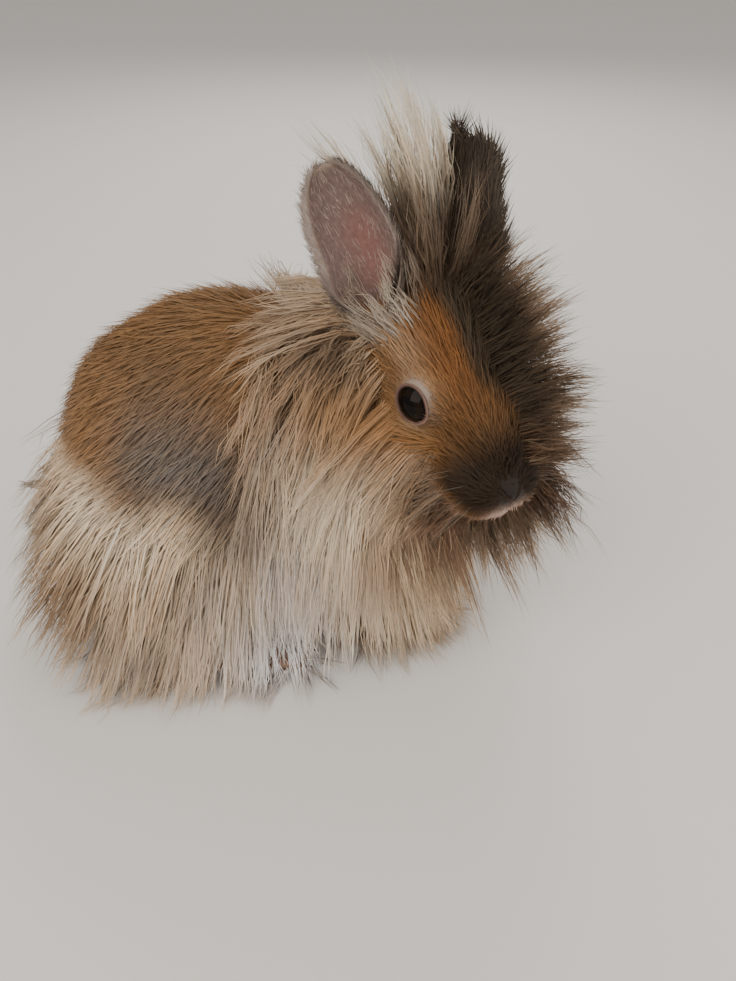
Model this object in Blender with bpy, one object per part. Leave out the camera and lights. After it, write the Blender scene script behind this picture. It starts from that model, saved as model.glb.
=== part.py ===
"""A lionhead rabbit, life size, crouched on its four feet with its head turned to its right.

+X is forwards along the body, +Y is the rabbit's left and +Z is up. The origin is on the floor,
under the middle of the whole model. Lengths are in metres.
"""
import math

import bmesh
import bpy
import numpy as np
from mathutils import Matrix, Vector

# Driving sizes
BODY_LENGTH = 0.185
BODY_WIDTH = 0.112
BACK_HEIGHT = 0.180
HEAD_LENGTH = 0.094
EAR_LENGTH = 0.061
EAR_WIDTH = 0.031
EYE_RADIUS = 0.0088

# Clearances: between two parts of flesh, between the head and what it is set into, and between the
# wool of one part and the flesh of another
GAP = 0.0004
HEAD_SEAM = 0.0010
WOOL_GAP = 0.0008

# The head's pose: its middle between the eyes, its turn to the right and its nod, in degrees
HEAD_PLACE = np.array((0.033, -0.041, 0.153))
HEAD_TURN = -61.0
HEAD_NOD = 22.0

# The forms below are written on a body and a head of these sizes, and scaled by the driving sizes
BODY_UNIT = np.array((BODY_LENGTH / 185, BODY_WIDTH / 112, BACK_HEIGHT / 180))
HEAD_UNIT = HEAD_LENGTH / 90


def head_axes():
    """The head's own axes as columns: forwards to the nose, its left, and its crown."""
    turn = Matrix.Rotation(math.radians(HEAD_TURN), 3, "Z")
    nod = Matrix.Rotation(math.radians(HEAD_NOD), 3, "Y")
    return np.array(turn @ nod)


HEAD_AXES = head_axes()


def turned(turn):
    """The axes, as columns, after turns about X, Y and Z in degrees."""
    axes = np.eye(3)
    for angle, axis in zip(turn, "XYZ"):
        axes = np.array(Matrix.Rotation(math.radians(angle), 3, axis)) @ axes
    return axes


def body_form(centre, radii, turn=(0, 0, 0)):
    """An ellipsoid of the body, in body units, with its own turn."""
    return np.array(centre) * BODY_UNIT, np.array(radii) * BODY_UNIT, turned(turn)


def head_form(centre, radii, turn=(0, 0, 0)):
    """An ellipsoid of the head, in head units along the head's own axes."""
    return on_head(centre), np.array(radii) * HEAD_UNIT, HEAD_AXES @ turned(turn)


def on_head(place):
    """A point given in head units along the head's own axes, in the world."""
    return HEAD_PLACE + HEAD_AXES @ (np.array(place, float) * HEAD_UNIT)


def both_sides(make, centre, radii, turn=(0, 0, 0)):
    """The form on the left and its mirror image on the right."""
    x, y, z = centre
    a, b, c = turn
    return [make((x, y, z), radii, (a, b, c)), make((x, -y, z), radii, (-a, b, -c))]


def distance_to(shape, points):
    """About how far each point is outside the ellipsoid, negative inside."""
    centre, radii, axes = shape
    local = (points - centre) @ axes
    near = np.linalg.norm(local / radii, axis=-1)
    slope = np.linalg.norm(local / radii**2, axis=-1)
    return near * (near - 1) / np.maximum(slope, 1e-9)


def blended(shapes, width, points):
    """The forms' distance, each melted into the next over the given width."""
    field = distance_to(shapes[0], points)
    for shape in shapes[1:]:
        other = distance_to(shape, points)
        share = np.clip(0.5 + 0.5 * (other - field) / width, 0, 1)
        field = other * (1 - share) + field * share - width * share * (1 - share)
    return field


# The body: chest, belly, rump and shoulders, and a haunch on each side
TRUNK_FORMS = [
    body_form((-60, 0, 102), (72, 50, 74), (0, -4, 0)),
    body_form((-97, 0, 84), (48, 49, 72)),
    body_form((-14, 0, 94), (44, 42, 68), (0, 14, 0)),
    body_form((-52, 0, 48), (74, 46, 40)),
    body_form((18, -6, 88), (30, 32, 44), (0, 10, 0)),
]
HAUNCH_FORMS = both_sides(body_form, (-88, 42, 66), (50, 24, 56), (8, 18, 4))
SHOULDER_FORMS = both_sides(body_form, (-4, 30, 76), (28, 20, 42), (0, 12, 0))
BODY_FORMS = TRUNK_FORMS + HAUNCH_FORMS + SHOULDER_FORMS
BODY_BLEND = 0.014

# The thick neck and throat
NECK_FORMS = [
    body_form((-4, -8, 140), (42, 43, 42), (0, -14, 0)),
    body_form((14, -22, 150), (30, 30, 32)),
]
NECK_BLEND = 0.010

# The head: skull, brow and bridge, snout, cheeks, whisker pads, brow ridges, chin and nose
HEAD_FORMS = [
    head_form((-16, 0, 6), (30, 21, 21)),
    head_form((10, 0, 3), (30, 14, 15), (0, 8, 0)),
    head_form((27, 0, -9), (18, 13, 13)),
    *both_sides(head_form, (-5, 11, -12), (25, 13, 17)),
    *both_sides(head_form, (32, 7, -12), (11.5, 8.5, 8.5)),
    *both_sides(head_form, (2, 13.5, 5), (13, 8, 11)),
    head_form((22, 0, -21), (15, 9, 7)),
    head_form((42, 0, -8), (5.5, 5.5, 4.5)),
]
HEAD_BLEND = 0.007

# Where the limbs stand: the forepaw's heel and the middle of the hind sole, along and across
FORELEG = (8, 21)
HINDFOOT_PLACE = (-80, 52)
TOES = (-1.5, -0.5, 0.5, 1.5)


def foreleg_forms(side):
    x, y = FORELEG
    return [
        body_form((x - 4, side * y, 46), (14, 12, 34), (0, -6, 0)),
        body_form((x + 2, side * y, 20), (10, 9.5, 18)),
    ]


def forepaw_forms(side):
    x, y = FORELEG
    toes = [
        body_form((x + 22 - 1.2 * abs(i), side * y + 4.4 * i, 3.5), (8, 2.9, 5))
        for i in TOES
    ]
    return [body_form((x + 8, side * y, 5.5), (15, 9, 8.5))] + toes


def hindfoot_forms(side):
    x, y = HINDFOOT_PLACE
    toes = [
        body_form((x + 40 - 1.5 * abs(i), side * y + 5.0 * i, 3.5), (12, 3.6, 5.5))
        for i in TOES
    ]
    return [
        body_form((x, side * y, 5), (44, 10, 9)),
        body_form((x - 28, side * y, 8), (16, 10, 12)),
    ] + toes


# The short tail, turned up against the rump
TAIL_FORMS = [
    body_form((-152, 0, 52), (14, 13, 17), (0, 20, 0)),
    body_form((-157, 0, 66), (9, 10, 13), (0, 20, 0)),
]

SIDES = {"left": 1, "right": -1}
LIMBS = {}
for word, side in SIDES.items():
    LIMBS["foreleg_" + word] = foreleg_forms(side)
    LIMBS["forepaw_" + word] = forepaw_forms(side)
    LIMBS["hindfoot_" + word] = hindfoot_forms(side)
LIMB_BLEND = 0.004

# How far the hanging wool ends above the floor, how far a lock may outreach its root's height, and
# how far the thigh is cut outside its own form
HANGING = 0.0015
REST = 0.014
THIGH_MARGIN = 0.006

# The furthest that any surface lies from the middle of its own part
FARTHEST, NEAREST = 0.16, 0.0005

# Colour and roughness of each coat
COATS = {
    "torso": ((0.235, 0.120, 0.050), 0.85),
    "mane": ((0.48, 0.36, 0.25), 0.9),
    "face": ((0.30, 0.15, 0.06), 0.85),
    "skirt": ((0.52, 0.41, 0.30), 0.9),
    "paw": ((0.36, 0.24, 0.15), 0.85),
    "ear": ((0.16, 0.11, 0.08), 0.8),
    "eye": ((0.012, 0.008, 0.006), 0.1),
}


def clear_scene():
    for old in list(bpy.data.objects):
        bpy.data.objects.remove(old)


def add_object(name, mesh):
    thing = bpy.data.objects.new(name, mesh)
    bpy.context.scene.collection.objects.link(thing)
    return thing


def cast(name, shapes, width, centre, stretch, segments, rings, grow=0.0):
    """A UV sphere with its poles along X, each vertex drawn in along its ray from the centre to the
    outermost surface of the blended forms, made larger by grow."""
    sphere = bmesh.new()
    bmesh.ops.create_uvsphere(sphere, u_segments=segments, v_segments=rings, radius=1)
    bmesh.ops.triangulate(sphere, faces=sphere.faces, quad_method="FIXED")
    bmesh.ops.rotate(sphere, verts=sphere.verts, matrix=Matrix.Rotation(math.pi / 2, 3, "Y"))
    rays = np.array([v.co[:] for v in sphere.verts]) @ np.asarray(stretch).T
    rays /= np.linalg.norm(rays, axis=1)[:, None]
    reach = np.linspace(FARTHEST, NEAREST, 90)
    samples = centre + reach[:, None, None] * rays[None]
    inside = blended(shapes, width, samples) < grow
    first = np.argmax(inside, axis=0)
    far = reach[np.maximum(first - 1, 0)]
    near = reach[first]
    for _ in range(24):
        middle = (near + far) / 2
        within = blended(shapes, width, centre + middle[:, None] * rays) < grow
        near = np.where(within, middle, near)
        far = np.where(within, far, middle)
    points = centre + near[:, None] * rays
    for vertex, point in zip(sphere.verts, points):
        vertex.co = point
    bmesh.ops.recalc_face_normals(sphere, faces=sphere.faces)
    mesh = bpy.data.meshes.new(name)
    sphere.to_mesh(mesh)
    sphere.free()
    return add_object(name, mesh)


def combine(target, others, operation, solver="MANIFOLD"):
    """Applies one Boolean of the target with a collection of closed objects, and removes them."""
    group = bpy.data.collections.new("operands")
    bpy.context.scene.collection.children.link(group)
    for other in others:
        for owner in list(other.users_collection):
            owner.objects.unlink(other)
        group.objects.link(other)
    modifier = target.modifiers.new("Combine", "BOOLEAN")
    modifier.operand_type = "COLLECTION"
    modifier.collection = group
    modifier.operation = operation
    modifier.solver = solver
    graph = bpy.context.evaluated_depsgraph_get()
    target.data = bpy.data.meshes.new_from_object(target.evaluated_get(graph))
    target.modifiers.clear()
    for other in list(group.objects):
        bpy.data.objects.remove(other)
    bpy.data.collections.remove(group)
    return target


def keep_largest(thing):
    """Drops every closed surface of the mesh but the one that reaches furthest."""
    shape = bmesh.new()
    shape.from_mesh(thing.data)
    waiting = set(shape.verts)
    groups = []
    while waiting:
        seed = waiting.pop()
        group = {seed}
        edge_of_group = [seed]
        while edge_of_group:
            vertex = edge_of_group.pop()
            for edge in vertex.link_edges:
                other = edge.other_vert(vertex)
                if other not in group:
                    group.add(other)
                    edge_of_group.append(other)
        waiting -= group
        groups.append(group)

    def reach(group):
        places = np.array([v.co[:] for v in group])
        return np.prod(np.ptp(places, axis=0) + 1e-6)

    groups.sort(key=reach)
    loose = [v for group in groups[:-1] for v in group]
    bmesh.ops.delete(shape, geom=loose, context="VERTS")
    shape.to_mesh(thing.data)
    shape.free()
    return thing


def make_ground(level):
    """A block with its top at the level, which cuts what stands on the floor or hangs over it."""
    block = bmesh.new()
    bmesh.ops.create_cube(block, size=1)
    bmesh.ops.translate(block, verts=block.verts, vec=(0, 0, level - 0.5))
    mesh = bpy.data.meshes.new("ground")
    block.to_mesh(mesh)
    block.free()
    return add_object("ground", mesh)


def stretch_along(axes, ratios):
    """The matrix that spaces a sphere's rays for a body longer along some of its own axes."""
    return np.asarray(axes) @ np.diag(ratios)


def make_blend(name, forms, width, grow=0.0, segments=16, rings=10):
    """The blended forms as one closed mesh, cast from the middle of the first of them."""
    centre, radii, axes = forms[0]
    stretch = stretch_along(axes, radii / radii.max())
    return cast(name, forms, width, centre, stretch, segments, rings, grow)


def make_body(grow=0.0, segments=30, rings=20):
    centre = np.array((-60, 0, 88)) * BODY_UNIT
    stretch = stretch_along(np.eye(3), (1.5, 0.8, 1.0))
    return cast("torso", BODY_FORMS, BODY_BLEND, centre, stretch, segments, rings, grow)


def make_head(grow=0.0, segments=32, rings=24):
    stretch = stretch_along(HEAD_AXES, (1.5, 0.9, 0.95))
    return cast("head", HEAD_FORMS, HEAD_BLEND, on_head((0, 0, -2)), stretch, segments, rings, grow)


def make_haunch(side, grow=0.0):
    """The thigh's share of the body: everything within a few millimetres of the haunch."""
    centre, radii, axes = HAUNCH_FORMS[0 if side > 0 else 1]
    return make_blend("haunch", [(centre, radii + THIGH_MARGIN, axes)], 0.01, grow, 16, 12)


def make_neck(grow=0.0):
    return make_blend("neck", NECK_FORMS, NECK_BLEND, grow)


def make_limb(name, grow=0.0):
    segments, rings = (14, 10) if "paw" in name or "foot" in name else (12, 7)
    return make_blend(name, LIMBS[name], LIMB_BLEND, grow, segments, rings)


def make_tail(grow=0.0):
    return make_blend("tail", TAIL_FORMS, LIMB_BLEND, grow, 12, 9)


# The ears: each one's side, the way up it and the way that its opening looks, along the head's axes
EAR_SIDES = {"ear_right": -1, "ear_left": 1}
EAR_LEAN = {"ear_right": (-0.73, -0.17, 0.665), "ear_left": (-0.63, 0.31, 0.706)}
EAR_MOUTH = {"ear_right": (0.50, -0.70, 0.50), "ear_left": (-0.16, 0.97, 0.15)}
EAR_STATIONS = 12
EAR_COLUMNS = 7
EAR_THICKNESS = 0.0020
EAR_ROOT = (-33, 14, 14)
EAR_ROOT_WIDTH = 0.42
EAR_WIDEST = 0.58
EAR_TIP_START = 0.62
EAR_ROOT_ROLL, EAR_UNROLL = 150, 88
EAR_BOW = 0.004


def make_ear(name, grow=0.0):
    """A cup of even thickness: curved sections along the ear, rolled to a tube at the root, open to
    the side, widest above the middle and round at the tip."""
    side = EAR_SIDES[name]
    rise = HEAD_AXES @ np.array(EAR_LEAN[name])
    rise /= np.linalg.norm(rise)
    mouth = HEAD_AXES @ np.array(EAR_MOUTH[name])
    mouth -= rise * (mouth @ rise)
    mouth /= np.linalg.norm(mouth)
    across = np.cross(rise, mouth)
    x, y, z = EAR_ROOT
    root = on_head((x, side * y, z))
    along = np.linspace(-0.12, 0.985, EAR_STATIONS)
    sections = []
    for t in along:
        low = max(t, 0)
        rounding = math.sqrt(max(1 - max((t - EAR_TIP_START) / (1 - EAR_TIP_START), 0) ** 2, 0.02))
        growth = math.sin(math.pi / 2 * min(low / EAR_WIDEST, 1))
        half_width = EAR_WIDTH / 2 * (EAR_ROOT_WIDTH + (1 - EAR_ROOT_WIDTH) * growth) * rounding
        curl = math.radians(EAR_ROOT_ROLL - EAR_UNROLL * min(low / 0.6, 1))
        radius = half_width / math.sin(min(curl, math.pi / 2))
        back = root + rise * (t * EAR_LENGTH) - mouth * (EAR_BOW * math.sin(math.pi * low))
        angles = np.linspace(-curl, curl, EAR_COLUMNS)
        outward = np.sin(angles)[:, None] * across - np.cos(angles)[:, None] * mouth
        middle = back + radius * (outward + mouth)
        half = EAR_THICKNESS / 2 * (1 if t < 0.9 else 0.8) + grow
        sections.append(np.concatenate([middle + half * outward, (middle - half * outward)[::-1]]))
    mesh = bmesh.new()
    rows = [[mesh.verts.new(p) for p in section] for section in sections]
    count = 2 * EAR_COLUMNS
    for low, high in zip(rows, rows[1:]):
        for i in range(count):
            j = (i + 1) % count
            mesh.faces.new((low[i], low[j], high[j], high[i]))
    for row in (rows[0], rows[-1]):
        for i in range(EAR_COLUMNS - 1):
            mesh.faces.new((row[i], row[i + 1], row[count - 2 - i], row[count - 1 - i]))
    bmesh.ops.recalc_face_normals(mesh, faces=mesh.faces)
    data = bpy.data.meshes.new(name)
    mesh.to_mesh(data)
    mesh.free()
    return add_object(name, data)


# The eyes and the rims of their lids
EYE_PLACE = (3, 16.6, 4)
EYE_LOOK = (0.22, 0.96, 0.14)
LID_OPENING = 0.0072
LID_THICKNESS = 0.0013


def eye_place(side):
    x, y, z = EYE_PLACE
    return on_head((x, side * y, z))


def make_eye(name, side, grow=0.0):
    ball = bmesh.new()
    bmesh.ops.create_uvsphere(ball, u_segments=12, v_segments=8, radius=EYE_RADIUS + grow)
    bmesh.ops.translate(ball, verts=ball.verts, vec=eye_place(side))
    mesh = bpy.data.meshes.new(name)
    ball.to_mesh(mesh)
    ball.free()
    return add_object(name, mesh)


def tube(name, points, radius, sides=6, closed=False, flatten=1.0, across=None):
    """A round tube through the points, as a closed mesh. flatten thins it along the direction across."""
    points = [np.array(p, float) for p in points]
    mesh = bmesh.new()
    rings = []
    count = len(points)
    for i, point in enumerate(points):
        before = points[i - 1] if closed or i else point
        after = points[(i + 1) % count] if closed or i < count - 1 else point
        ahead = after - before
        ahead /= np.linalg.norm(ahead)
        level = np.asarray(across, float) if across is not None else np.array((0.0, 0.0, 1.0))
        level = level - ahead * (level @ ahead)
        level /= np.linalg.norm(level)
        beside = np.cross(ahead, level)
        turns = [2 * math.pi * k / sides for k in range(sides)]
        rings.append([
            mesh.verts.new(point + radius * (math.cos(a) * beside + flatten * math.sin(a) * level))
            for a in turns
        ])
    pairs = list(zip(rings, rings[1:] + rings[:1])) if closed else list(zip(rings, rings[1:]))
    for low, high in pairs:
        for k in range(sides):
            j = (k + 1) % sides
            mesh.faces.new((low[k], low[j], high[j], high[k]))
    if not closed:
        mesh.faces.new(rings[0])
        mesh.faces.new(rings[-1][::-1])
    bmesh.ops.recalc_face_normals(mesh, faces=mesh.faces)
    data = bpy.data.meshes.new(name)
    mesh.to_mesh(data)
    mesh.free()
    return add_object(name, data)


def make_lids(side):
    """The rim of both eyelids: an oval ring that lies on the eyeball."""
    look = HEAD_AXES @ np.array((EYE_LOOK[0], side * EYE_LOOK[1], EYE_LOOK[2]))
    look /= np.linalg.norm(look)
    wide = HEAD_AXES @ np.array((1.0, 0.0, -0.35))
    wide -= look * (wide @ look)
    wide /= np.linalg.norm(wide)
    tall = np.cross(look, wide)
    points = []
    for k in range(16):
        angle = 2 * math.pi * k / 16
        offset = LID_OPENING * (math.cos(angle) * wide + 0.98 * math.sin(angle) * tall)
        depth = math.sqrt((EYE_RADIUS + 0.0004) ** 2 - offset @ offset)
        points.append(eye_place(side) + offset + look * depth)
    return tube("lids", points, LID_THICKNESS, 5, closed=True, across=look)


def drop_onto(point, shapes, width, level=0.0):
    """The nearest place to the point at the given height over the blended forms."""
    point = np.array(point, float)
    step = 1e-4
    for _ in range(12):
        here = blended(shapes, width, point[None])[0]
        slope = np.array([
            blended(shapes, width, (point + step * axis)[None])[0] - here for axis in np.eye(3)
        ]) / step
        point = point - (here - level) * slope / (slope @ slope)
    return point


def make_mouth():
    """The cutters for the cleft under the nose and for the line of the mouth."""
    cleft = [(47, 0, -9), (46, 0, -12), (44, 0, -15), (41, 0, -18)]
    lip = [(41, 0, -18), (38, 4.5, -19.5), (33, 8.5, -20), (27, 10.5, -20)]
    lines = [cleft, lip, [(x, -y, z) for x, y, z in lip]]
    cutters = []
    for line in lines:
        path = [drop_onto(on_head(p), HEAD_FORMS, HEAD_BLEND) for p in line]
        cutters.append(tube("mouth", path, 0.0009, 4, across=HEAD_AXES[:, 1]))
    return cutters


def make_nostril(side):
    place = drop_onto(on_head((47, side * 3.0, -6.5)), HEAD_FORMS, HEAD_BLEND)
    forms = [(place, np.array((0.0022, 0.0008, 0.0020)), HEAD_AXES)]
    return cast("nostril", forms, 0.001, place, np.eye(3), 8, 5)


def unit(vectors):
    return vectors / np.linalg.norm(vectors, axis=-1, keepdims=True)


def slope_of(shapes, width, points):
    """The unit outward direction of the blended forms at each point."""
    step = 2e-4
    return unit(np.stack([
        blended(shapes, width, points + step * axis) - blended(shapes, width, points - step * axis)
        for axis in np.eye(3)
    ], axis=-1))


def scatter(shapes, width, centre, spacing, region, seed):
    """Points spread evenly over the part of the blended forms that the region accepts: the rays of a
    golden spiral are followed to the surface, and taken in a random order where none is nearer than
    the spacing."""
    count = 3000
    turn = np.arange(count) * math.pi * (3 - math.sqrt(5))
    level = 1 - 2 * (np.arange(count) + 0.5) / count
    ring = np.sqrt(1 - level**2)
    rays = np.stack([ring * np.cos(turn), ring * np.sin(turn), level], axis=-1)
    reach = np.linspace(FARTHEST, NEAREST, 160)
    samples = centre + reach[:, None, None] * rays[None]
    first = np.argmax(blended(shapes, width, samples) < 0, axis=0)
    points = centre + reach[first][:, None] * rays
    normals = slope_of(shapes, width, points)
    points = points - blended(shapes, width, points)[:, None] * normals
    wanted = region(points, normals)
    points, normals = points[wanted], normals[wanted]
    order = np.random.default_rng(seed).permutation(len(points))
    kept = []
    for i in order:
        if all(np.linalg.norm(points[i] - points[j]) > spacing for j in kept):
            kept.append(i)
    kept = sorted(kept, key=lambda i: -points[i][2])
    return points[kept], normals[kept]


# A lock's rings along its length and their share of its width, and how deep its root is sunk. A
# cutter made from a lock is wider than the gap, so that its thin edges clear it too.
LOCK_RINGS = (0.0, 0.24, 0.56, 0.82, 1.0)
LOCK_SWELL = (0.66, 1.0, 0.92, 0.52, 0.0)
LOCK_SINK = 0.005
LOCK_FALL = 0.4
EDGE_GROWTH, TIP_GROWTH = 6, 3


def lock_paths(roots, normals, lie, lengths, lift, under, width, sag=0.5, curl=0.0):
    """The centre lines of the locks, one row of points for each ring. Each starts sunk below the
    surface, leaves along its lie, sags, and is kept off the forms under it by a height that grows
    from nothing to its lift, and off the floor."""
    lie = lie - 0.4 * normals * np.sum(lie * normals, axis=1, keepdims=True)
    heading = unit(unit(lie) + 0.25 * normals)
    place = roots + 0.0005 * normals
    rows = [roots - LOCK_SINK * normals + 0.15 * LOCK_SINK * heading]
    steps = 10
    track = [place]
    for k in range(1, steps + 1):
        share = k / steps
        heading = unit(heading + sag / steps * np.array((0, 0, -1.0)) + curl / steps * np.array((-1.0, 0, 0)))
        moved = place + heading * (lengths / steps)[:, None]
        need = lift * min(1.0, share * 1.6)
        outward = slope_of(under, width, moved)
        short = np.maximum(need - blended(under, width, moved), 0)
        moved = moved + outward * short[:, None]
        low = HANGING + 0.001 * (1 + 2 * (1 - share))
        moved[:, 2] = np.maximum(moved[:, 2], low)
        heading = unit(0.5 * heading + 0.5 * unit(moved - place))
        place = moved
        track.append(place)
    track = np.array(track)
    for t in LOCK_RINGS[1:]:
        where = t * steps
        low = min(int(where), steps - 1)
        rows.append(track[low] + (where - low) * (track[low + 1] - track[low]))
    return np.array(rows)


def make_locks(paths, widths, under, width, thinness, grow=0.0):
    """Flat, tapered locks along their centre lines, each a closed mesh with three-sided rings and a
    pointed tip: a broad side towards the forms that it lies over, and a low ridge along its back."""
    locks = []
    outward = np.array([slope_of(under, width, row) for row in paths])
    for i in range(paths.shape[1]):
        line = paths[:, i]
        ahead = np.gradient(line, axis=0)
        ahead /= np.linalg.norm(ahead, axis=1)[:, None]
        side = np.cross(ahead, outward[:, i])
        side /= np.linalg.norm(side, axis=1)[:, None]
        face = np.cross(side, ahead)
        mesh = bmesh.new()
        rings = []
        for point, across, up, swell in zip(line[:-1], side, face, LOCK_SWELL):
            half = widths[i] / 2 * swell + EDGE_GROWTH * grow
            ridge = widths[i] / 2 * swell * thinness + grow
            base = -LOCK_FALL * (ridge - grow) - grow
            corners = (half * across + base * up, ridge * up, -half * across + base * up)
            rings.append([mesh.verts.new(point + corner) for corner in corners])
        tip = mesh.verts.new(line[-1] + TIP_GROWTH * grow * ahead[-1])
        for low, high in zip(rings, rings[1:]):
            for k in range(3):
                j = (k + 1) % 3
                mesh.faces.new((low[k], low[j], high[j]))
                mesh.faces.new((low[k], high[j], high[k]))
        for k in range(3):
            mesh.faces.new((rings[-1][k], rings[-1][(k + 1) % 3], tip))
        mesh.faces.new(rings[0])
        bmesh.ops.recalc_face_normals(mesh, faces=mesh.faces)
        data = bpy.data.meshes.new("lock")
        mesh.to_mesh(data)
        mesh.free()
        locks.append(add_object("lock", data))
    return locks


# What the wool lies over, from the skin of the body out to the head
LIMB_FORMS = [form for forms in LIMBS.values() for form in forms]
UNDER_BODY = BODY_FORMS + LIMB_FORMS
UNDER_NECK = UNDER_BODY + NECK_FORMS
UNDER_HEAD = UNDER_NECK + HEAD_FORMS
UNDER_BLEND = 0.010

# Each part's wool: the forms it grows on, their blend, the middle that roots are sought from, the
# spacing of the roots, and the length, width and lift of its locks
TORSO_WOOL = (BODY_FORMS, BODY_BLEND, (-45, 0, 80), 0.0190, 0.066, 0.0215, 0.007)
HAUNCH_WOOL = (BODY_FORMS, BODY_BLEND, (-88, 0, 70), 0.0172, 0.072, 0.0200, 0.014)
TAIL_WOOL = (TAIL_FORMS, LIMB_BLEND, (-150, 0, 54), 0.0165, 0.032, 0.0145, 0.006)
NECK_WOOL = (NECK_FORMS, NECK_BLEND, (0, -12, 142), 0.0135, 0.078, 0.0180, 0.016)
CHEEK_WOOL = (HEAD_FORMS, HEAD_BLEND, (0, 0, -2), 0.0100, 0.062, 0.0135, 0.022)
FORELOCK_WOOL = (HEAD_FORMS, HEAD_BLEND, (-20, 0, 0), 0.0052, 0.070, 0.0070, 0.001)

# The nape's locks shorten over this band of height, by these shares of their length and lift
NAPE_LOW, NAPE_BAND = 158, 16
NAPE_SHORTER, NAPE_FLATTER = 0.55, 0.6


def in_body(points):
    return points / BODY_UNIT


def in_head(points):
    return ((points - HEAD_PLACE) @ HEAD_AXES) / HEAD_UNIT


def clear_of(points, forms, width, margin):
    return blended(forms, width, points) > margin


def torso_region(points, normals):
    x, y, z = in_body(points).T
    low = (z < 112) & (normals[:, 2] < 0.5) & (normals[:, 2] > -0.55)
    rear = (x < -128) & (np.abs(y) < 26) & (z < 96)
    apart = clear_of(points, NECK_FORMS, NECK_BLEND, 0.004) & clear_of(points, HEAD_FORMS, HEAD_BLEND, 0.006)
    for form in (HAUNCH_FORMS[0], HAUNCH_FORMS[1]):
        apart &= distance_to(form, points) > THIGH_MARGIN + 0.004
    apart &= clear_of(points, LIMB_FORMS, LIMB_BLEND, 0.003) & clear_of(points, TAIL_FORMS, LIMB_BLEND, 0.004)
    return apart & low & ((x > -46) | rear)


def haunch_region(side):
    def region(points, normals):
        x, y, z = in_body(points).T
        centre, radii, axes = HAUNCH_FORMS[0 if side > 0 else 1]
        local = (points - centre) @ axes / radii
        within = np.hypot(local[:, 0], local[:, 2]) < 0.92
        apart = clear_of(points, LIMB_FORMS, LIMB_BLEND, 0.003)
        return within & apart & (side * y > 18) & (z < 102) & (normals[:, 2] > -0.6)
    return region


def tail_region(points, normals):
    return clear_of(points, BODY_FORMS, BODY_BLEND, 0.002)


def neck_region(points, normals):
    apart = clear_of(points, BODY_FORMS, BODY_BLEND, 0.0005) & clear_of(points, HEAD_FORMS, HEAD_BLEND, 0.003)
    x, y, z = in_head(points).T
    ears = (z > 4) & (x > -52)
    return apart & ~ears & clear_of(points, LIMB_FORMS, LIMB_BLEND, 0.003)


def cheek_region(points, normals):
    x, y, z = in_head(points).T
    cheek = (x > -36) & (x < 12) & (np.abs(y) > 13) & (z < 12 - 1.1 * np.maximum(x + 24, 0))
    beard = (x > -8) & (x < 27) & (z < -18)
    return (cheek | beard) & clear_of(points, NECK_FORMS, NECK_BLEND, 0.002)


def forelock_region(points, normals):
    x, y, z = in_head(points).T
    return (x > -42) & (x < -24) & (np.abs(y) < 8) & (z > 10)


def hang_down(points, normals):
    """Wool of the body: down, a little back behind the shoulder and forwards on the chest."""
    x = in_body(points)[:, 0]
    lean = np.where(x > -10, 0.15, -0.35)
    return unit(np.stack([lean, 0 * x, -np.ones(len(x))], axis=-1))


def sweep_back(points, normals):
    """Wool of the haunch: down and back, and straight back behind the rump."""
    x = in_body(points)[:, 0]
    lean = np.interp(x, (-140, -60), (-0.9, -0.2))
    return unit(np.stack([lean, 0 * x, -np.ones(len(x))], axis=-1))


def fall_from_face(points, normals):
    """The mane: away from the face, then down over the shoulders and the chest."""
    away = -HEAD_AXES[:, 0] * np.array((1.0, 0.4, 1.0))
    lie = 0.5 * away + 0.5 * normals * np.array((0.6, 1, 0)) + np.array((-0.1, 0, -0.95))
    return unit(lie)


def spread_cheek(points, normals):
    """The cheeks: out to the side, back from the nose and down."""
    y = in_head(points)[:, 1]
    aside = np.clip(y / 18, -1, 1)[:, None] * HEAD_AXES[:, 1]
    fall = np.where(y < 0, -0.6, -0.25)[:, None] * np.array((0, 0, 1.0))
    return unit(1.2 * aside - 0.3 * HEAD_AXES[:, 0] + fall)


def rise_up(points, normals):
    """The forelock: up between the ears, fanned out to both sides."""
    y = in_head(points)[:, 1][:, None]
    return unit(-0.62 * HEAD_AXES[:, 0] + (0.04 * y - 0.12) * HEAD_AXES[:, 1] + 0.78 * HEAD_AXES[:, 2])


def grow_wool(wool, region, lie_of, under, seed, thinness=0.17, sag=0.5, curl=0.0):
    """The centre lines and widths of one part's locks."""
    shapes, width, middle, spacing, length, breadth, lift = wool
    centre = on_head(middle) if shapes is HEAD_FORMS else np.array(middle) * BODY_UNIT
    roots, normals = scatter(shapes, width, centre, spacing, region, seed)
    chance = np.random.default_rng(seed + 1)
    nape = np.clip((in_body(roots)[:, 2] - NAPE_LOW) / NAPE_BAND, 0, 1) * (shapes is NECK_FORMS)
    lengths = length * chance.uniform(0.85, 1.15, len(roots)) * (1 - NAPE_SHORTER * nape)
    lengths = np.minimum(lengths, roots[:, 2] + REST)
    widths = breadth * chance.uniform(0.85, 1.15, len(roots))
    lie = lie_of(roots, normals) + 0.12 * chance.normal(size=roots.shape)
    lifts = lift * (1 - NAPE_FLATTER * nape)
    paths = lock_paths(roots, normals, lie, lengths, lifts, under, UNDER_BLEND, sag, curl)
    return paths, widths, under, UNDER_BLEND, thinness


def colour(thing, coat):
    (red, green, blue), roughness = COATS[coat]
    material = bpy.data.materials.get(coat) or bpy.data.materials.new(coat)
    material.use_nodes = True
    surface = material.node_tree.nodes["Principled BSDF"]
    surface.inputs["Base Color"].default_value = (red, green, blue, 1)
    surface.inputs["Roughness"].default_value = roughness
    surface.inputs["Metallic"].default_value = 0.0
    thing.data.materials.clear()
    thing.data.materials.append(material)
    thing.data.shade_smooth()
    thing.data.set_sharp_from_angle(angle=math.radians(40))
    return thing


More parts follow.
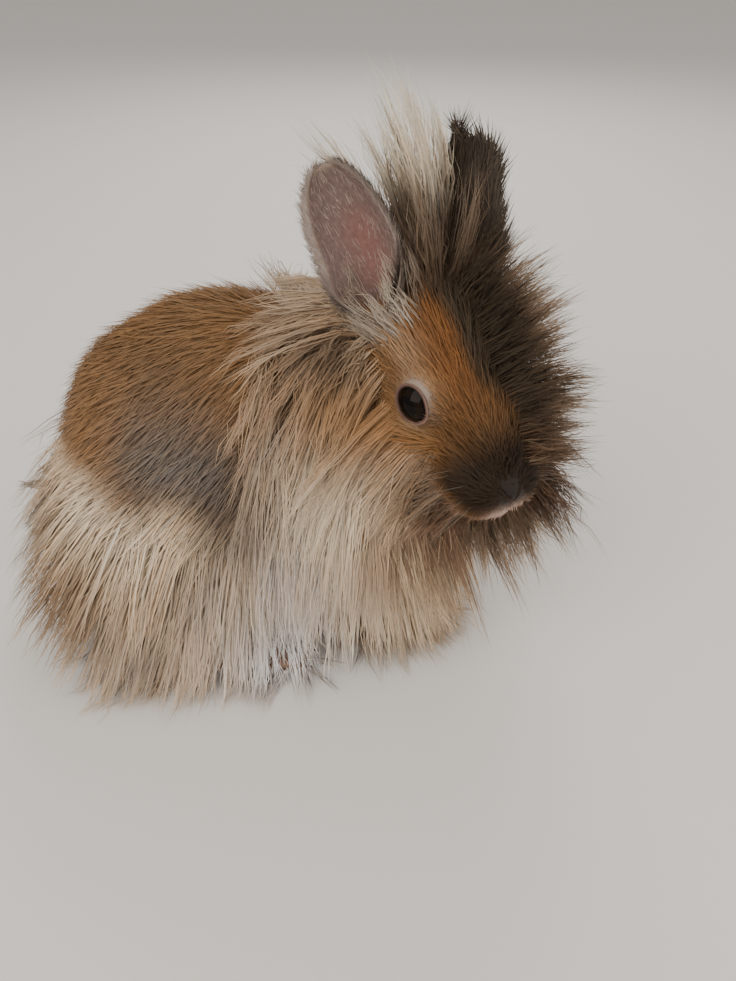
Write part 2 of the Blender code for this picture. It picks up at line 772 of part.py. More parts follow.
def stand_on_origin(nodes):
    """Moves every node so that the floor is at zero under the middle of the whole model."""
    corners = np.array([v.co[:] for node in nodes for v in node.data.vertices])
    low, high = corners.min(axis=0), corners.max(axis=0)
    shift = -np.array(((low[0] + high[0]) / 2, (low[1] + high[1]) / 2, low[2]))
    for node in nodes:
        node.data.transform(Matrix.Translation(Vector(shift)))


clear_scene()

# The flesh of every part, each a closed mesh of its own
nodes = {"torso": make_body(), "neck": make_neck(), "head": make_head(), "tail": make_tail()}
for word, side in SIDES.items():
    nodes["hindleg_" + word] = combine(make_body(), [make_haunch(side)], "INTERSECT")
    nodes["eye_" + word] = make_eye("eye_" + word, side)
    nodes["ear_" + word] = make_ear("ear_" + word)
for name in LIMBS:
    nodes[name] = make_limb(name)

# The wool that grows on each part
wool = {
    "head": [
        grow_wool(CHEEK_WOOL, cheek_region, spread_cheek, UNDER_HEAD, 11, sag=0.45),
        grow_wool(FORELOCK_WOOL, forelock_region, rise_up, UNDER_HEAD, 12, 0.35, sag=0.0, curl=0.35),
    ],
    "neck": [grow_wool(NECK_WOOL, neck_region, fall_from_face, UNDER_NECK, 22, sag=0.8)],
    "torso": [grow_wool(TORSO_WOOL, torso_region, hang_down, UNDER_BODY, 34)],
    "tail": [grow_wool(TAIL_WOOL, tail_region, sweep_back, UNDER_BODY + TAIL_FORMS, 41)],
}
for word, side in SIDES.items():
    wool["hindleg_" + word] = [grow_wool(HAUNCH_WOOL, haunch_region(side), sweep_back, UNDER_BODY, 51)]


def locks_of(name, grow=0.0):
    return [lock for growth in wool[name] for lock in make_locks(*growth, grow)]


def flesh_of(name):
    """The flesh that the wool of another part keeps off, grown by the gap that wool keeps."""
    part, _, word = name.partition("_")
    if name == "torso":
        thighs = [make_haunch(side, -WOOL_GAP) for side in SIDES.values()]
        return combine(make_body(WOOL_GAP), thighs, "DIFFERENCE")
    if part == "hindleg":
        return combine(make_body(WOOL_GAP), [make_haunch(SIDES[word], WOOL_GAP)], "INTERSECT")
    if name == "head":
        return make_head(HEAD_SEAM + GAP, 24, 18)
    if part == "eye":
        return make_eye(name, SIDES[word], WOOL_GAP)
    if part == "ear":
        return make_ear(name, WOOL_GAP)
    if name in LIMBS:
        return make_limb(name, WOOL_GAP)
    return {"neck": make_neck, "tail": make_tail}[name](WOOL_GAP)


# The eyes, mouth and nostrils are cut into the head, and the ears stand on it
hollows = [make_eye("eye", side, GAP) for side in SIDES.values()]
hollows += [make_nostril(side) for side in SIDES.values()]
combine(nodes["head"], [make_lids(side) for side in SIDES.values()], "UNION")
combine(nodes["head"], hollows + make_mouth(), "DIFFERENCE")
for name in EAR_SIDES:
    combine(nodes[name], [make_head(GAP)], "DIFFERENCE")

# The body is parted from its thighs, neck and forelegs, and the tail and the hind feet meet it
around = [make_neck(GAP), make_head(HEAD_SEAM, 24, 18)]
around += [make_haunch(side, GAP) for side in SIDES.values()]
combine(nodes["torso"], around + [make_limb("foreleg_" + word, GAP) for word in SIDES], "DIFFERENCE")
around = [make_haunch(side, GAP) for side in SIDES.values()]
around += [make_limb("foreleg_" + word, GAP) for word in SIDES]
around += [make_ear(name, GAP) for name in EAR_SIDES]
combine(nodes["neck"], around + [make_head(HEAD_SEAM, 24, 18)], "DIFFERENCE")
combine(nodes["tail"], [make_body(GAP)], "DIFFERENCE")
for word in SIDES:
    combine(nodes["hindleg_" + word], [make_limb("foreleg_" + word, GAP)], "DIFFERENCE")
    combine(nodes["foreleg_" + word], [make_limb("forepaw_" + word, GAP)], "DIFFERENCE")
    combine(nodes["forepaw_" + word], [make_body(GAP)], "DIFFERENCE")
    combine(nodes["hindfoot_" + word], [make_body(GAP)], "DIFFERENCE")

# Each part's locks are cut clear of the other parts' flesh and of the locks that lie over them
dressed = []
for name in ("head", "neck", "tail", "hindleg_left", "hindleg_right", "torso"):
    locks = locks_of(name)
    coat = combine(locks[0], locks[1:], "UNION")
    around = [flesh_of(other) for other in nodes if other != name]
    around += [lock for other in dressed for lock in locks_of(other, GAP)]
    combine(coat, around, "DIFFERENCE")
    combine(nodes[name], [coat], "UNION")
    dressed.append(name)

# Feet and paws are cut off at the floor, and the wool a little above it
for name, node in nodes.items():
    level = 0.0 if "foot" in name or "paw" in name else HANGING
    if min(v.co.z for v in node.data.vertices) < level:
        combine(node, [make_ground(level)], "DIFFERENCE")
    keep_largest(node)
    node.name = name

coat_of = {"torso": "torso", "neck": "mane", "head": "face", "tail": "skirt"}
for name, node in nodes.items():
    kind = name.split("_")[0]
    colour(node, {"hindleg": "skirt", "ear": "ear", "eye": "eye"}.get(kind, coat_of.get(name, "paw")))
stand_on_origin(nodes.values())
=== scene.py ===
"""The dressed lionhead rabbit: skin, eyes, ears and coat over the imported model, with its studio.

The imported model's frame is kept: metres, +X forwards along the body, +Y the rabbit's left, +Z up.
"""
import math

import bpy
import numpy as np
from mathutils import Matrix, Vector


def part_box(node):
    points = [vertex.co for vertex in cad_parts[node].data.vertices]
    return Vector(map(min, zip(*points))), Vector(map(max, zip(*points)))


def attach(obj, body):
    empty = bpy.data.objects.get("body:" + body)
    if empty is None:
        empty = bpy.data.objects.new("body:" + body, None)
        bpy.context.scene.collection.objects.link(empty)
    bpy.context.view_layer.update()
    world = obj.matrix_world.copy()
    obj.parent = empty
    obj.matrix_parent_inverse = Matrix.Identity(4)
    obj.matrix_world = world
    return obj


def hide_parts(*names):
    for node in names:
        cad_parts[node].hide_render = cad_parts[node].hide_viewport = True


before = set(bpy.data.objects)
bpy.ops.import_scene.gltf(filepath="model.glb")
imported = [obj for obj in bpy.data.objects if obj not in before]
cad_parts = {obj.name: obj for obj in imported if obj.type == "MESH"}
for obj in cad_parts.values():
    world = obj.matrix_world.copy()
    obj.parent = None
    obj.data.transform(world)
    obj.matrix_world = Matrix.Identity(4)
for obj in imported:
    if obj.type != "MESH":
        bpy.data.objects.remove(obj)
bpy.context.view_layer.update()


# The camera and the studio.
# The photo looks down at the crouched rabbit from its right side, from about 0.4 m. The floor is
# plain and pale. A broad soft lamp shines from the left, with weaker ones on the right and behind.
# Places on the head are in head units, 90 to its length of 94 mm, forwards, left and up.
HEAD_PLACE = np.array((0.033, -0.041, 0.153))
HEAD_TURN, HEAD_NOD = -61.0, 22.0
HEAD_SCALE = 0.094 / 90
EYE_SPOT = (3, 16.6, 4)
CAMERA_PLACE, CAMERA_TILT = (0, -0.290, 0.310), 50
FILM_HEIGHT, FOCAL_PIXELS, PHOTO_HEIGHT = 36, 755, 981
ROOM_TINT, ROOM_STRENGTH = (1.0, 0.97, 0.93, 1), 0.55
LAMP_AIM = (0.02, 0.0, 0.11)
FLOOR_REACH, FLOOR_TINT, FLOOR_ROUGHNESS = 3, (0.72, 0.69, 0.66, 1), 0.8


def turned(angles):
    """The matrix that turns about X, then Y, then Z by angles in degrees."""
    axes = np.eye(3)
    for angle, axis in zip(angles, "XYZ"):
        axes = np.array(Matrix.Rotation(math.radians(angle), 3, axis)) @ axes
    return axes


# The forms are measured from a point under the body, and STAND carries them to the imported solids:
# it is what brings the modelled right eye onto its node.
HEAD_AXES = turned((0, HEAD_NOD, HEAD_TURN))
right_eye = np.array(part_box("eye_right")).mean(axis=0)
from_head = HEAD_AXES @ (np.array(EYE_SPOT) * (1, -1, 1) * HEAD_SCALE)
STAND = right_eye - from_head - HEAD_PLACE
HEAD_PLACE = HEAD_PLACE + STAND

view = bpy.data.cameras.new("photo_view")
view.sensor_fit = "VERTICAL"
view.sensor_height = FILM_HEIGHT
view.lens = FILM_HEIGHT * FOCAL_PIXELS / PHOTO_HEIGHT
camera = bpy.data.objects.new("photo_view", view)
camera.location = np.array(CAMERA_PLACE) + STAND
camera.rotation_euler = (math.radians(CAMERA_TILT), 0, 0)
bpy.context.scene.collection.objects.link(camera)
bpy.context.scene.camera = camera

world = bpy.data.worlds.new("room")
world.use_nodes = True
world.node_tree.nodes["Background"].inputs["Color"].default_value = ROOM_TINT
world.node_tree.nodes["Background"].inputs["Strength"].default_value = ROOM_STRENGTH
bpy.context.scene.world = world


def hang_lamp(name, place, size, power, tint):
    """A square soft light that faces the rabbit."""
    lamp = bpy.data.lights.new(name, "AREA")
    lamp.size, lamp.energy, lamp.color = size, power, tint
    thing = bpy.data.objects.new(name, lamp)
    thing.location = place
    aim = Vector(LAMP_AIM) - Vector(place)
    thing.rotation_euler = aim.to_track_quat("-Z", "Y").to_euler()
    bpy.context.scene.collection.objects.link(thing)


hang_lamp("window", (-0.45, -0.75, 0.95), size=1.1, power=13.5, tint=(1.0, 0.96, 0.90))
hang_lamp("fill", (0.95, -0.35, 0.60), size=1.1, power=5.0, tint=(1.0, 0.95, 0.90))
hang_lamp("back", (0.1, 0.95, 0.80), size=0.7, power=6.0, tint=(1.0, 0.98, 0.95))


def plain_finish(name, constants):
    """A material with the given constants on its surface shader."""
    material = bpy.data.materials.new(name)
    material.use_nodes = True
    for socket, value in constants.items():
        material.node_tree.nodes["Principled BSDF"].inputs[socket].default_value = value
    return material


floor_corners = [(x * FLOOR_REACH, y * FLOOR_REACH, 0) for x, y in ((-1, -1), (1, -1), (1, 1), (-1, 1))]
floor_mesh = bpy.data.meshes.new("floor")
floor_mesh.from_pydata(floor_corners, [], [(0, 1, 2, 3)])
floor_mesh.materials.append(plain_finish("pale_floor", {
    "Base Color": FLOOR_TINT,
    "Roughness": FLOOR_ROUGHNESS,
}))
floor = bpy.data.objects.new("floor", floor_mesh)
bpy.context.scene.collection.objects.link(floor)


# The skin.
# One closed skin covers body, neck, head, legs, feet and tail, a coat's depth inside the solids.
# It is the level set of ellipsoids melted together, remeshed evenly and drawn onto that level.
def body_form(centre, radii, turn=(0, 0, 0)):
    """An ellipsoid of the body in millimetres: its centre, radii and axes as columns."""
    return np.array(centre) * 0.001 + STAND, np.array(radii) * 0.001, turned(turn)


def on_head(place):
    """Points in head units along the head's own axes, in the world."""
    return HEAD_PLACE + (np.array(place, float) * HEAD_SCALE) @ HEAD_AXES.T


def head_form(centre, radii, turn=(0, 0, 0)):
    """An ellipsoid of the head in head units along the head's own axes."""
    return on_head(centre), np.array(radii) * HEAD_SCALE, HEAD_AXES @ turned(turn)


def both_sides(make, centre, radii, turn=(0, 0, 0)):
    """The form on the left and its mirror image on the right."""
    (x, y, z), (a, b, c) = centre, turn
    return [make((x, y, z), radii, (a, b, c)), make((x, -y, z), radii, (-a, b, -c))]


def thinner(forms, depth):
    """The forms with their radii less by the coat's depth in metres."""
    return [(centre, radii - depth, axes) for centre, radii, axes in forms]


def distance_to(form, points):
    """About how far each point is outside the ellipsoid: k(k - 1) / |gradient of k| for k = |p / r|."""
    centre, radii, axes = form
    local = (points - centre) @ axes
    near = np.linalg.norm(local / radii, axis=-1)
    slope = np.linalg.norm(local / radii**2, axis=-1)
    return near * (near - 1) / np.maximum(slope, 1e-9)


def melt(field, other, width):
    """The smooth minimum of two distances: a quadratic blend where they differ by under the width."""
    share = np.clip(0.5 + 0.5 * (other - field) / width, 0, 1)
    return other * (1 - share) + field * share - width * share * (1 - share)


def blended(forms, width, points):
    """The distance to several ellipsoids, melted together one after the other."""
    field = distance_to(forms[0], points)
    for form in forms[1:]:
        field = melt(field, distance_to(form, points), width)
    return field


# Each form is its centre, its three radii and its turns about X, Y and Z in degrees.
BODY_FORMS = [
    body_form((-60, 0, 102), (72, 50, 74), (0, -4, 0)),
    body_form((-97, 0, 84), (48, 49, 72)),
    body_form((-14, 0, 94), (44, 42, 68), (0, 14, 0)),
    body_form((-52, 0, 48), (74, 46, 40)),
    body_form((18, -6, 88), (30, 32, 44), (0, 10, 0)),
    *both_sides(body_form, (-88, 42, 66), (50, 24, 56), (8, 18, 4)),
    *both_sides(body_form, (-4, 30, 76), (28, 20, 42), (0, 12, 0)),
]
NECK_FORMS = [
    body_form((-4, -8, 140), (42, 43, 42), (0, -14, 0)),
    body_form((14, -22, 150), (30, 30, 32)),
]
HEAD_FORMS = [
    head_form((-16, 0, 6), (30, 21, 21)),
    head_form((10, 0, 3), (30, 14, 15), (0, 8, 0)),
    head_form((27, 0, -9), (18, 13, 13)),
    *both_sides(head_form, (-5, 11, -12), (25, 13, 17)),
    *both_sides(head_form, (32, 7, -12), (11.5, 8.5, 8.5)),
    *both_sides(head_form, (2, 13.5, 5), (13, 8, 11)),
    head_form((22, 0, -21), (15, 9, 7)),
    head_form((42, 0, -8), (5.5, 5.5, 4.5)),
]
LEG_FORMS = []
for side in (1, -1):
    LEG_FORMS += [
        body_form((4, side * 21, 46), (14, 12, 34), (0, -6, 0)),
        body_form((10, side * 21, 20), (10, 9.5, 18)),
        body_form((16, side * 21, 5.5), (15, 9, 8.5)),
        body_form((-80, side * 52, 5), (44, 10, 9)),
        body_form((-108, side * 52, 8), (16, 10, 12)),
    ]
    for i in (-1.5, -0.5, 0.5, 1.5):
        LEG_FORMS.append(body_form((30 - 1.2 * abs(i), side * 21 + 4.4 * i, 3.5), (8, 2.9, 5)))
        LEG_FORMS.append(body_form((-40 - 1.5 * abs(i), side * 52 + 5.0 * i, 3.5), (12, 3.6, 5.5)))
TAIL_FORMS = [
    body_form((-152, 0, 52), (14, 13, 17), (0, 20, 0)),
    body_form((-157, 0, 66), (9, 10, 13), (0, 20, 0)),
]
COAT_DEPTH = {"body": 0.0060, "neck": 0.0110, "head": 0.0022, "legs": 0.0012, "tail": 0.0050}
BLENDS = {"body": 0.014, "neck": 0.010, "head": 0.007, "legs": 0.004, "tail": 0.004}
OUTER = {"body": BODY_FORMS, "neck": NECK_FORMS, "head": HEAD_FORMS, "legs": LEG_FORMS, "tail": TAIL_FORMS}
INNER = {name: thinner(forms, COAT_DEPTH[name]) for name, forms in OUTER.items()}
INNER["head"] = [
    *INNER["head"],
    *both_sides(head_form, (37, 6.5, -12), (7.5, 6.5, 6.5)),
    head_form((38, 0, -19), (7, 6, 4.5)),
]
PARTS = list(INNER)
SKIN_BLEND, WOOL_BLEND = 0.006, 0.010
FLOOR_GAP = 0.0012
SKIN_CELL = 0.0017
SKIN_STEPS, SKIN_STEP = 6, 0.8
UNWRAP_ANGLE, ISLAND_MARGIN = 66, 0.004


def melted_parts(parts, names, width, points):
    """The distances to the named parts, each with its own blend, melted into one."""
    field = None
    for name in names:
        part = blended(parts[name], BLENDS[name], points)
        field = part if field is None else melt(field, part, width)
    return field


def skin_field(points):
    """The distance to the skin, which stays off the floor."""
    return np.maximum(melted_parts(INNER, PARTS, SKIN_BLEND, points), FLOOR_GAP - points[..., 2])


def unit(vectors):
    """The vectors brought to length 1."""
    return vectors / np.maximum(np.linalg.norm(vectors, axis=-1, keepdims=True), 1e-9)


def slope_of(field, points, step=2e-4):
    """The unit outward direction of a distance field, by central differences."""
    moves = step * np.eye(3)
    return unit(np.stack([field(points + move) - field(points - move) for move in moves], -1))


def fill_mesh(name, points, faces):
    """A mesh of triangles or quads from whole arrays."""
    mesh = bpy.data.meshes.new(name)
    size = faces.shape[1]
    mesh.vertices.add(len(points))
    mesh.vertices.foreach_set("co", np.asarray(points, np.float32).ravel())
    mesh.loops.add(faces.size)
    mesh.loops.foreach_set("vertex_index", np.asarray(faces, np.int32).ravel())
    mesh.polygons.add(len(faces))
    mesh.polygons.foreach_set("loop_start", np.arange(len(faces), dtype=np.int32) * size)
    mesh.update(calc_edges=True)
    mesh.shade_smooth()
    return mesh


def add_piece(name, mesh, material):
    """Puts a mesh into the scene with its material, riding on the still model's one body."""
    thing = bpy.data.objects.new(name, mesh)
    bpy.context.scene.collection.objects.link(thing)
    mesh.materials.append(material)
    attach(thing, "root")
    return thing


def ball_mesh(form, segments=32, rings=20):
    """An ellipsoid on a grid of longitude a and latitude b, with closed poles: (sin b cos a, sin b sin a,
    cos b) times its radii, along its axes, from its centre."""
    centre, radii, axes = form
    turn = np.linspace(0, 2 * math.pi, segments, endpoint=False)
    down = np.linspace(0, math.pi, rings + 1)[1:-1]
    a, b = np.meshgrid(turn, down)
    shell = np.stack([np.sin(b) * np.cos(a), np.sin(b) * np.sin(a), np.cos(b)], -1).reshape(-1, 3)
    shell = np.vstack([shell, (0, 0, 1), (0, 0, -1)])
    k = np.arange(segments)
    j = (k + 1) % segments
    faces = []
    for ring in range(rings - 2):
        low, high = ring * segments, (ring + 1) * segments
        faces += [np.stack([low + k, high + k, high + j], -1), np.stack([low + k, high + j, low + j], -1)]
    top, bottom, last = len(shell) - 2, len(shell) - 1, (rings - 2) * segments
    faces.append(np.stack([0 * k + top, k, j], -1))
    faces.append(np.stack([0 * k + bottom, last + j, last + k], -1))
    return centre + (shell * radii) @ axes.T, np.concatenate(faces)


def points_of(mesh):
    """The mesh's points, a row of x, y and z for each."""
    spots = np.empty(len(mesh.vertices) * 3, np.float32)
    mesh.vertices.foreach_get("co", spots)
    return spots.reshape(-1, 3).astype(float)


def make_skin():
    """All forms joined and remeshed in even cells, then each point moved along the field's slope onto
    the skin's level."""
    parts = [ball_mesh(form) for forms in INNER.values() for form in forms]
    starts = np.cumsum([0] + [len(points) for points, _ in parts])
    points = np.vstack([points for points, _ in parts])
    faces = np.vstack([faces + start for (_, faces), start in zip(parts, starts)])
    rough = bpy.data.objects.new("rough", fill_mesh("rough", points, faces))
    bpy.context.scene.collection.objects.link(rough)
    remesh = rough.modifiers.new("even", "REMESH")
    remesh.mode = "VOXEL"
    remesh.voxel_size = SKIN_CELL
    graph = bpy.context.evaluated_depsgraph_get()
    mesh = bpy.data.meshes.new_from_object(rough.evaluated_get(graph))
    bpy.data.objects.remove(rough)
    spots = points_of(mesh)
    for _ in range(SKIN_STEPS):
        spots -= SKIN_STEP * skin_field(spots)[:, None] * slope_of(skin_field, spots)
    mesh.vertices.foreach_set("co", spots.astype(np.float32).ravel())
    mesh.update()
    mesh.name = "skin"
    return mesh


skin_mesh = make_skin()
skin = bpy.data.objects.new("skin", skin_mesh)
bpy.context.scene.collection.objects.link(skin)
bpy.context.view_layer.objects.active = skin
skin.select_set(True)
bpy.ops.object.mode_set(mode="EDIT")
bpy.ops.mesh.select_all(action="SELECT")
bpy.ops.mesh.quads_convert_to_tris()
bpy.ops.uv.smart_project(angle_limit=math.radians(UNWRAP_ANGLE), island_margin=ISLAND_MARGIN)
bpy.ops.object.mode_set(mode="OBJECT")
skin.select_set(False)
skin_mesh.uv_layers[0].name = "OFBake"
skin_mesh.shade_smooth()


# The markings.
# They are the coat's colours at named places, and the skin under it has them too. The back is golden
# brown with dark ticking, the hip grey, the skirt cream and peach, the mane cream streaked with grey,
# and the face golden brown, with a dark muzzle and a dark patch on the left half of the forehead.
GOLD = (0.285, 0.145, 0.058)
DARK_GOLD = (0.150, 0.086, 0.042)
SMOKE = (0.150, 0.125, 0.105)
CREAM = (0.790, 0.655, 0.490)
PEACH = (0.780, 0.560, 0.365)
BROWN = (0.230, 0.138, 0.078)
ASH = (0.330, 0.270, 0.225)
SILVER = (0.880, 0.840, 0.850)
BUFF = (0.560, 0.410, 0.275)
HONEY = (0.360, 0.178, 0.068)
ORANGE = (0.190, 0.072, 0.018)
FACE_GOLD = (0.120, 0.058, 0.021)
SOOT = (0.018, 0.010, 0.005)
SABLE = (0.070, 0.045, 0.026)
DARK_SABLE = (0.052, 0.034, 0.019)
TAN = (0.330, 0.235, 0.160)
FAWN = (0.250, 0.145, 0.090)
PALE_LIP = (0.700, 0.500, 0.410)

# Each mark is its centre, its radius, its colour and its strength. The centres and radii of the body's,
# the skirt's and the mane's are in millimetres, and those of the head's in head units.
BODY_MARKS = [
    ((-60, 0, 175), 60, DARK_GOLD, 0.35),
    ((-118, 0, 140), 26, DARK_GOLD, 0.55),
    ((-86, -33, 151), 24, DARK_GOLD, 0.8),
    ((-140, 0, 108), 22, SMOKE, 0.9),
    ((-88, -46, 118), 22, SMOKE, 0.9),
    ((-66, -50, 114), 24, SMOKE, 0.9),
    ((-54, -54, 92), 18, SMOKE, 0.8),
    ((-88, 46, 118), 22, SMOKE, 0.9),
    ((-62, 52, 108), 26, SMOKE, 0.9),
]


def to_body(points):
    """Points of the world in millimetres along the body's axes."""
    return (points - STAND) * 1000


def to_head(points):
    """Points of the world in head units along the head's own axes."""
    return (points - HEAD_PLACE) @ HEAD_AXES / HEAD_SCALE


def mix(colour, other, share):
    """From one colour to the other by a share for each point."""
    share = np.asarray(share)[..., None]
    return np.asarray(colour) * (1 - share) + np.asarray(other) * share


def mark(colours, places, marks):
    """Each marking laid over the last as a soft patch: strength * exp(-(distance / radius)^2)."""
    for centre, radius, colour, strength in marks:
        gap = np.sum((places - np.array(centre)) ** 2, axis=-1) / radius**2
        colours = mix(colours, colour, strength * np.exp(-gap))
    return colours


def rise(value, low, high):
    """A smooth step from 0 at low to 1 at high."""
    share = np.clip((value - low) / (high - low), 0, 1)
    return share * share * (3 - 2 * share)


SKIRT_MARKS = [
    ((-125, -45, 98), 22, CREAM, 0.7),
    ((-128, 48, 88), 26, CREAM, 0.9),
    ((-104, -60, 84), 22, CREAM, 0.7),
    ((-142, -58, 48), 34, BROWN, 1.0),
    ((-142, 56, 40), 26, BROWN, 0.85),
    ((-108, -68, 26), 24, ASH, 0.85),
    ((-90, 66, 20), 34, ASH, 0.7),
    ((-74, -66, 58), 18, ASH, 0.8),
    ((-58, -60, 86), 17, SMOKE, 0.8),
    ((-37, -64, 50), 24, CREAM, 0.8),
    ((-37, -70, 16), 32, SILVER, 1.0),
    ((4, -66, 24), 26, CREAM, 0.7),
    ((-150, 0, 70), 24, ASH, 0.6),
]
MANE_MARKS = [
    ((-42, -20, 164), 42, TAN, 0.95),
    ((-26, -46, 146), 27, TAN, 0.8),
    ((-54, -48, 126), 24, HONEY, 0.5),
    ((-7, -55, 142), 27, HONEY, 0.95),
    ((-44, -46, 122), 16, ASH, 0.7),
    ((-16, -46, 108), 20, CREAM, 0.75),
    ((-34, -52, 70), 22, SILVER, 0.7),
    ((-37, -62, 25), 34, SILVER, 1.0),
    ((5, -68, 108), 24, PEACH, 0.95),
    ((-16, -62, 104), 22, CREAM, 0.9),
    ((-56, -60, 97), 19, SMOKE, 0.9),
    ((-60, -20, 160), 22, GOLD, 0.8),
    ((2, -52, 30), 24, CREAM, 0.7),
    ((32, -66, 80), 26, FAWN, 0.95),
    ((52, -60, 84), 30, FAWN, 0.9),
    ((46, -66, 96), 20, BROWN, 0.7),
    ((40, -30, 84), 26, FAWN, 0.9),
    ((40, -56, 30), 22, BUFF, 0.6),
    ((20, 40, 120), 40, ASH, 0.5),
    ((10, 45, 50), 40, CREAM, 0.5),
    ((-14, -42, 166), 14, SABLE, 0.9),
    ((-16, 40, 165), 13, SABLE, 0.6),
]
HEAD_MARKS = [
    ((0, -26, -16), 18, HONEY, 0.9),
    ((-12, -12, 24), 18, ORANGE, 0.95),
    ((6, -10, 18), 13, ORANGE, 0.7),
    ((-22, -20, 8), 12, HONEY, 0.8),
    ((4, -20, 13), 7, HONEY, 0.7),
    ((3, -22, 5), 8.0, BUFF, 0.95),
    ((12, -18, -8), 7, HONEY, 0.5),
    ((-14, -20, 14), 9, BUFF, 0.35),
]


def all_one(colour, points):
    """The same colour for every point."""
    return np.tile(colour, (len(points), 1))


def body_colours(points):
    """Gold above, smoke over the hips, and peach wool with cream, brown and ash in the skirt. The wavy
    edge between them is a height for each place along the body."""
    places = to_body(points)
    x, y, z = places.T
    upper = mark(all_one(GOLD, points), places, BODY_MARKS)
    lower = mark(all_one(PEACH, points), places, SKIRT_MARKS)
    edge = np.interp(x, (-150, -120, -90, -60), (104, 106, 102, 92)) + 4 * np.sin(x / 5 + y / 8)
    return mix(lower, upper, rise(z, edge - 9, edge + 7))


def mane_colours(points):
    """Buff wool with the mane's marks."""
    return mark(all_one(BUFF, points), to_body(points), MANE_MARKS)


def head_colours(points):
    """Gold and orange on the right half, sable on the left of the forehead and on the far cheek, and
    a muzzle that darkens to soot, with fawn below it and pale lips."""
    places = to_head(points)
    x, y, z = places.T
    colours = mark(all_one(FACE_GOLD, points), places, HEAD_MARKS)
    divide = np.interp(x, (-25, 8, 25), (-7, -4, 3))
    sable = rise(y - divide, -2, 4) * (1 - rise(x, 8, 26)) * rise(z, -8, 4)
    sable = np.maximum(sable, 0.8 * rise(y, 12, 22) * (1 - rise(x, 20, 34)))
    fawn = rise(-z, 12, 20)
    soot = rise(x - 0.25 * z, 18, 35) * rise(z, -14, -9)
    lips = np.exp(-((x - 42) ** 2 / 120 + np.maximum(np.abs(y) - 5, 0) ** 2 / 16 + (z + 15.8) ** 2 / 18))
    for share, colour in ((sable, DARK_SABLE), (fawn, FAWN), (0.93 * soot, SOOT), (0.9 * lips, PALE_LIP)):
        colours = mix(colours, colour, share)
    return colours


def leg_colours(points):
    """Plain fawn."""
    return all_one(FAWN, points)


def tail_colours(points):
    """Ash with the skirt's last mark, which is the tail's."""
    return mark(all_one(ASH, points), to_body(points), SKIRT_MARKS[-1:])


COLOURS = {
    "body": body_colours,
    "neck": mane_colours,
    "head": head_colours,
    "legs": leg_colours,
    "tail": tail_colours,
}


def nearest_part(points):
    """The part whose skin lies nearest to each point, as an index into the parts' names."""
    return np.argmin([blended(forms, BLENDS[name], points) for name, forms in INNER.items()], axis=0)


def coat_colours(points):
    """The markings of whichever part is nearest."""
    part = nearest_part(points)
    colours = np.empty((len(points), 3))
    for index, name in enumerate(PARTS):
        chosen = part == index
        if chosen.any():
            colours[chosen] = COLOURS[name](points[chosen])
    return colours


def paint_points(mesh, colours):
    """Stores a colour for each point as the attribute that the coat's materials read."""
    layer = mesh.color_attributes.new("coat", "FLOAT_COLOR", "POINT")
    full = np.ones((len(colours), 4), np.float32)
    full[:, :3] = colours
    layer.data.foreach_set("color", full.ravel())


def fine_grain():
    """Fine patchy variation: Colour times a factor that a noise of the given Size moves between
    1 - Depth and 1 + Depth, and that noise as a Height."""
    group = bpy.data.node_groups.new("fine_grain", "ShaderNodeTree")
    for way, sockets in (("INPUT", ("Colour", "Size", "Depth")), ("OUTPUT", ("Colour", "Height"))):
        for socket in sockets:
            kind = "NodeSocketColor" if socket == "Colour" else "NodeSocketFloat"
            group.interface.new_socket(socket, in_out=way, socket_type=kind)
    nodes, links = group.nodes, group.links
    inlet, outlet = nodes.new("NodeGroupInput"), nodes.new("NodeGroupOutput")
    where = nodes.new("ShaderNodeTexCoord")
    noise = nodes.new("ShaderNodeTexNoise")
    noise.inputs["Detail"].default_value = 3
    spread = nodes.new("ShaderNodeMapRange")
    spread.inputs["From Min"].default_value = 0.3
    spread.inputs["From Max"].default_value = 0.7
    for operation, limit in (("SUBTRACT", "To Min"), ("ADD", "To Max")):
        step = nodes.new("ShaderNodeMath")
        step.operation = operation
        step.inputs[0].default_value = 1.0
        links.new(inlet.outputs["Depth"], step.inputs[1])
        links.new(step.outputs[0], spread.inputs[limit])
    scale = nodes.new("ShaderNodeVectorMath")
    scale.operation = "SCALE"
    links.new(where.outputs["Object"], noise.inputs["Vector"])
    links.new(inlet.outputs["Size"], noise.inputs["Scale"])
    links.new(noise.outputs["Fac"], spread.inputs["Value"])
    links.new(inlet.outputs["Colour"], scale.inputs[0])
    links.new(spread.outputs["Result"], scale.inputs["Scale"])
    links.new(scale.outputs["Vector"], outlet.inputs["Colour"])
    links.new(noise.outputs["Fac"], outlet.inputs["Height"])
    return group


GRAIN = fine_grain()


def coat_material(name, size, depth, roughness, bump=0.0):
    """A soft, matt finish that takes its colour from the piece's own coat attribute, with the grain's
    size and depth, and its relief where a bump is given."""
    material = plain_finish(name, {"Roughness": roughness, "Specular IOR Level": 0.25})
    nodes, links = material.node_tree.nodes, material.node_tree.links
    surface = nodes["Principled BSDF"]
    colour = nodes.new("ShaderNodeAttribute")
    colour.attribute_name = "coat"
    grain = nodes.new("ShaderNodeGroup")
    grain.node_tree = GRAIN
    grain.inputs["Size"].default_value = size
    grain.inputs["Depth"].default_value = depth
    links.new(colour.outputs["Color"], grain.inputs["Colour"])
    links.new(grain.outputs["Colour"], surface.inputs["Base Color"])
    if bump:
        relief = nodes.new("ShaderNodeBump")
        relief.inputs["Distance"].default_value = bump
        links.new(grain.outputs["Height"], relief.inputs["Height"])
        links.new(relief.outputs["Normal"], surface.inputs["Normal"])
    return material


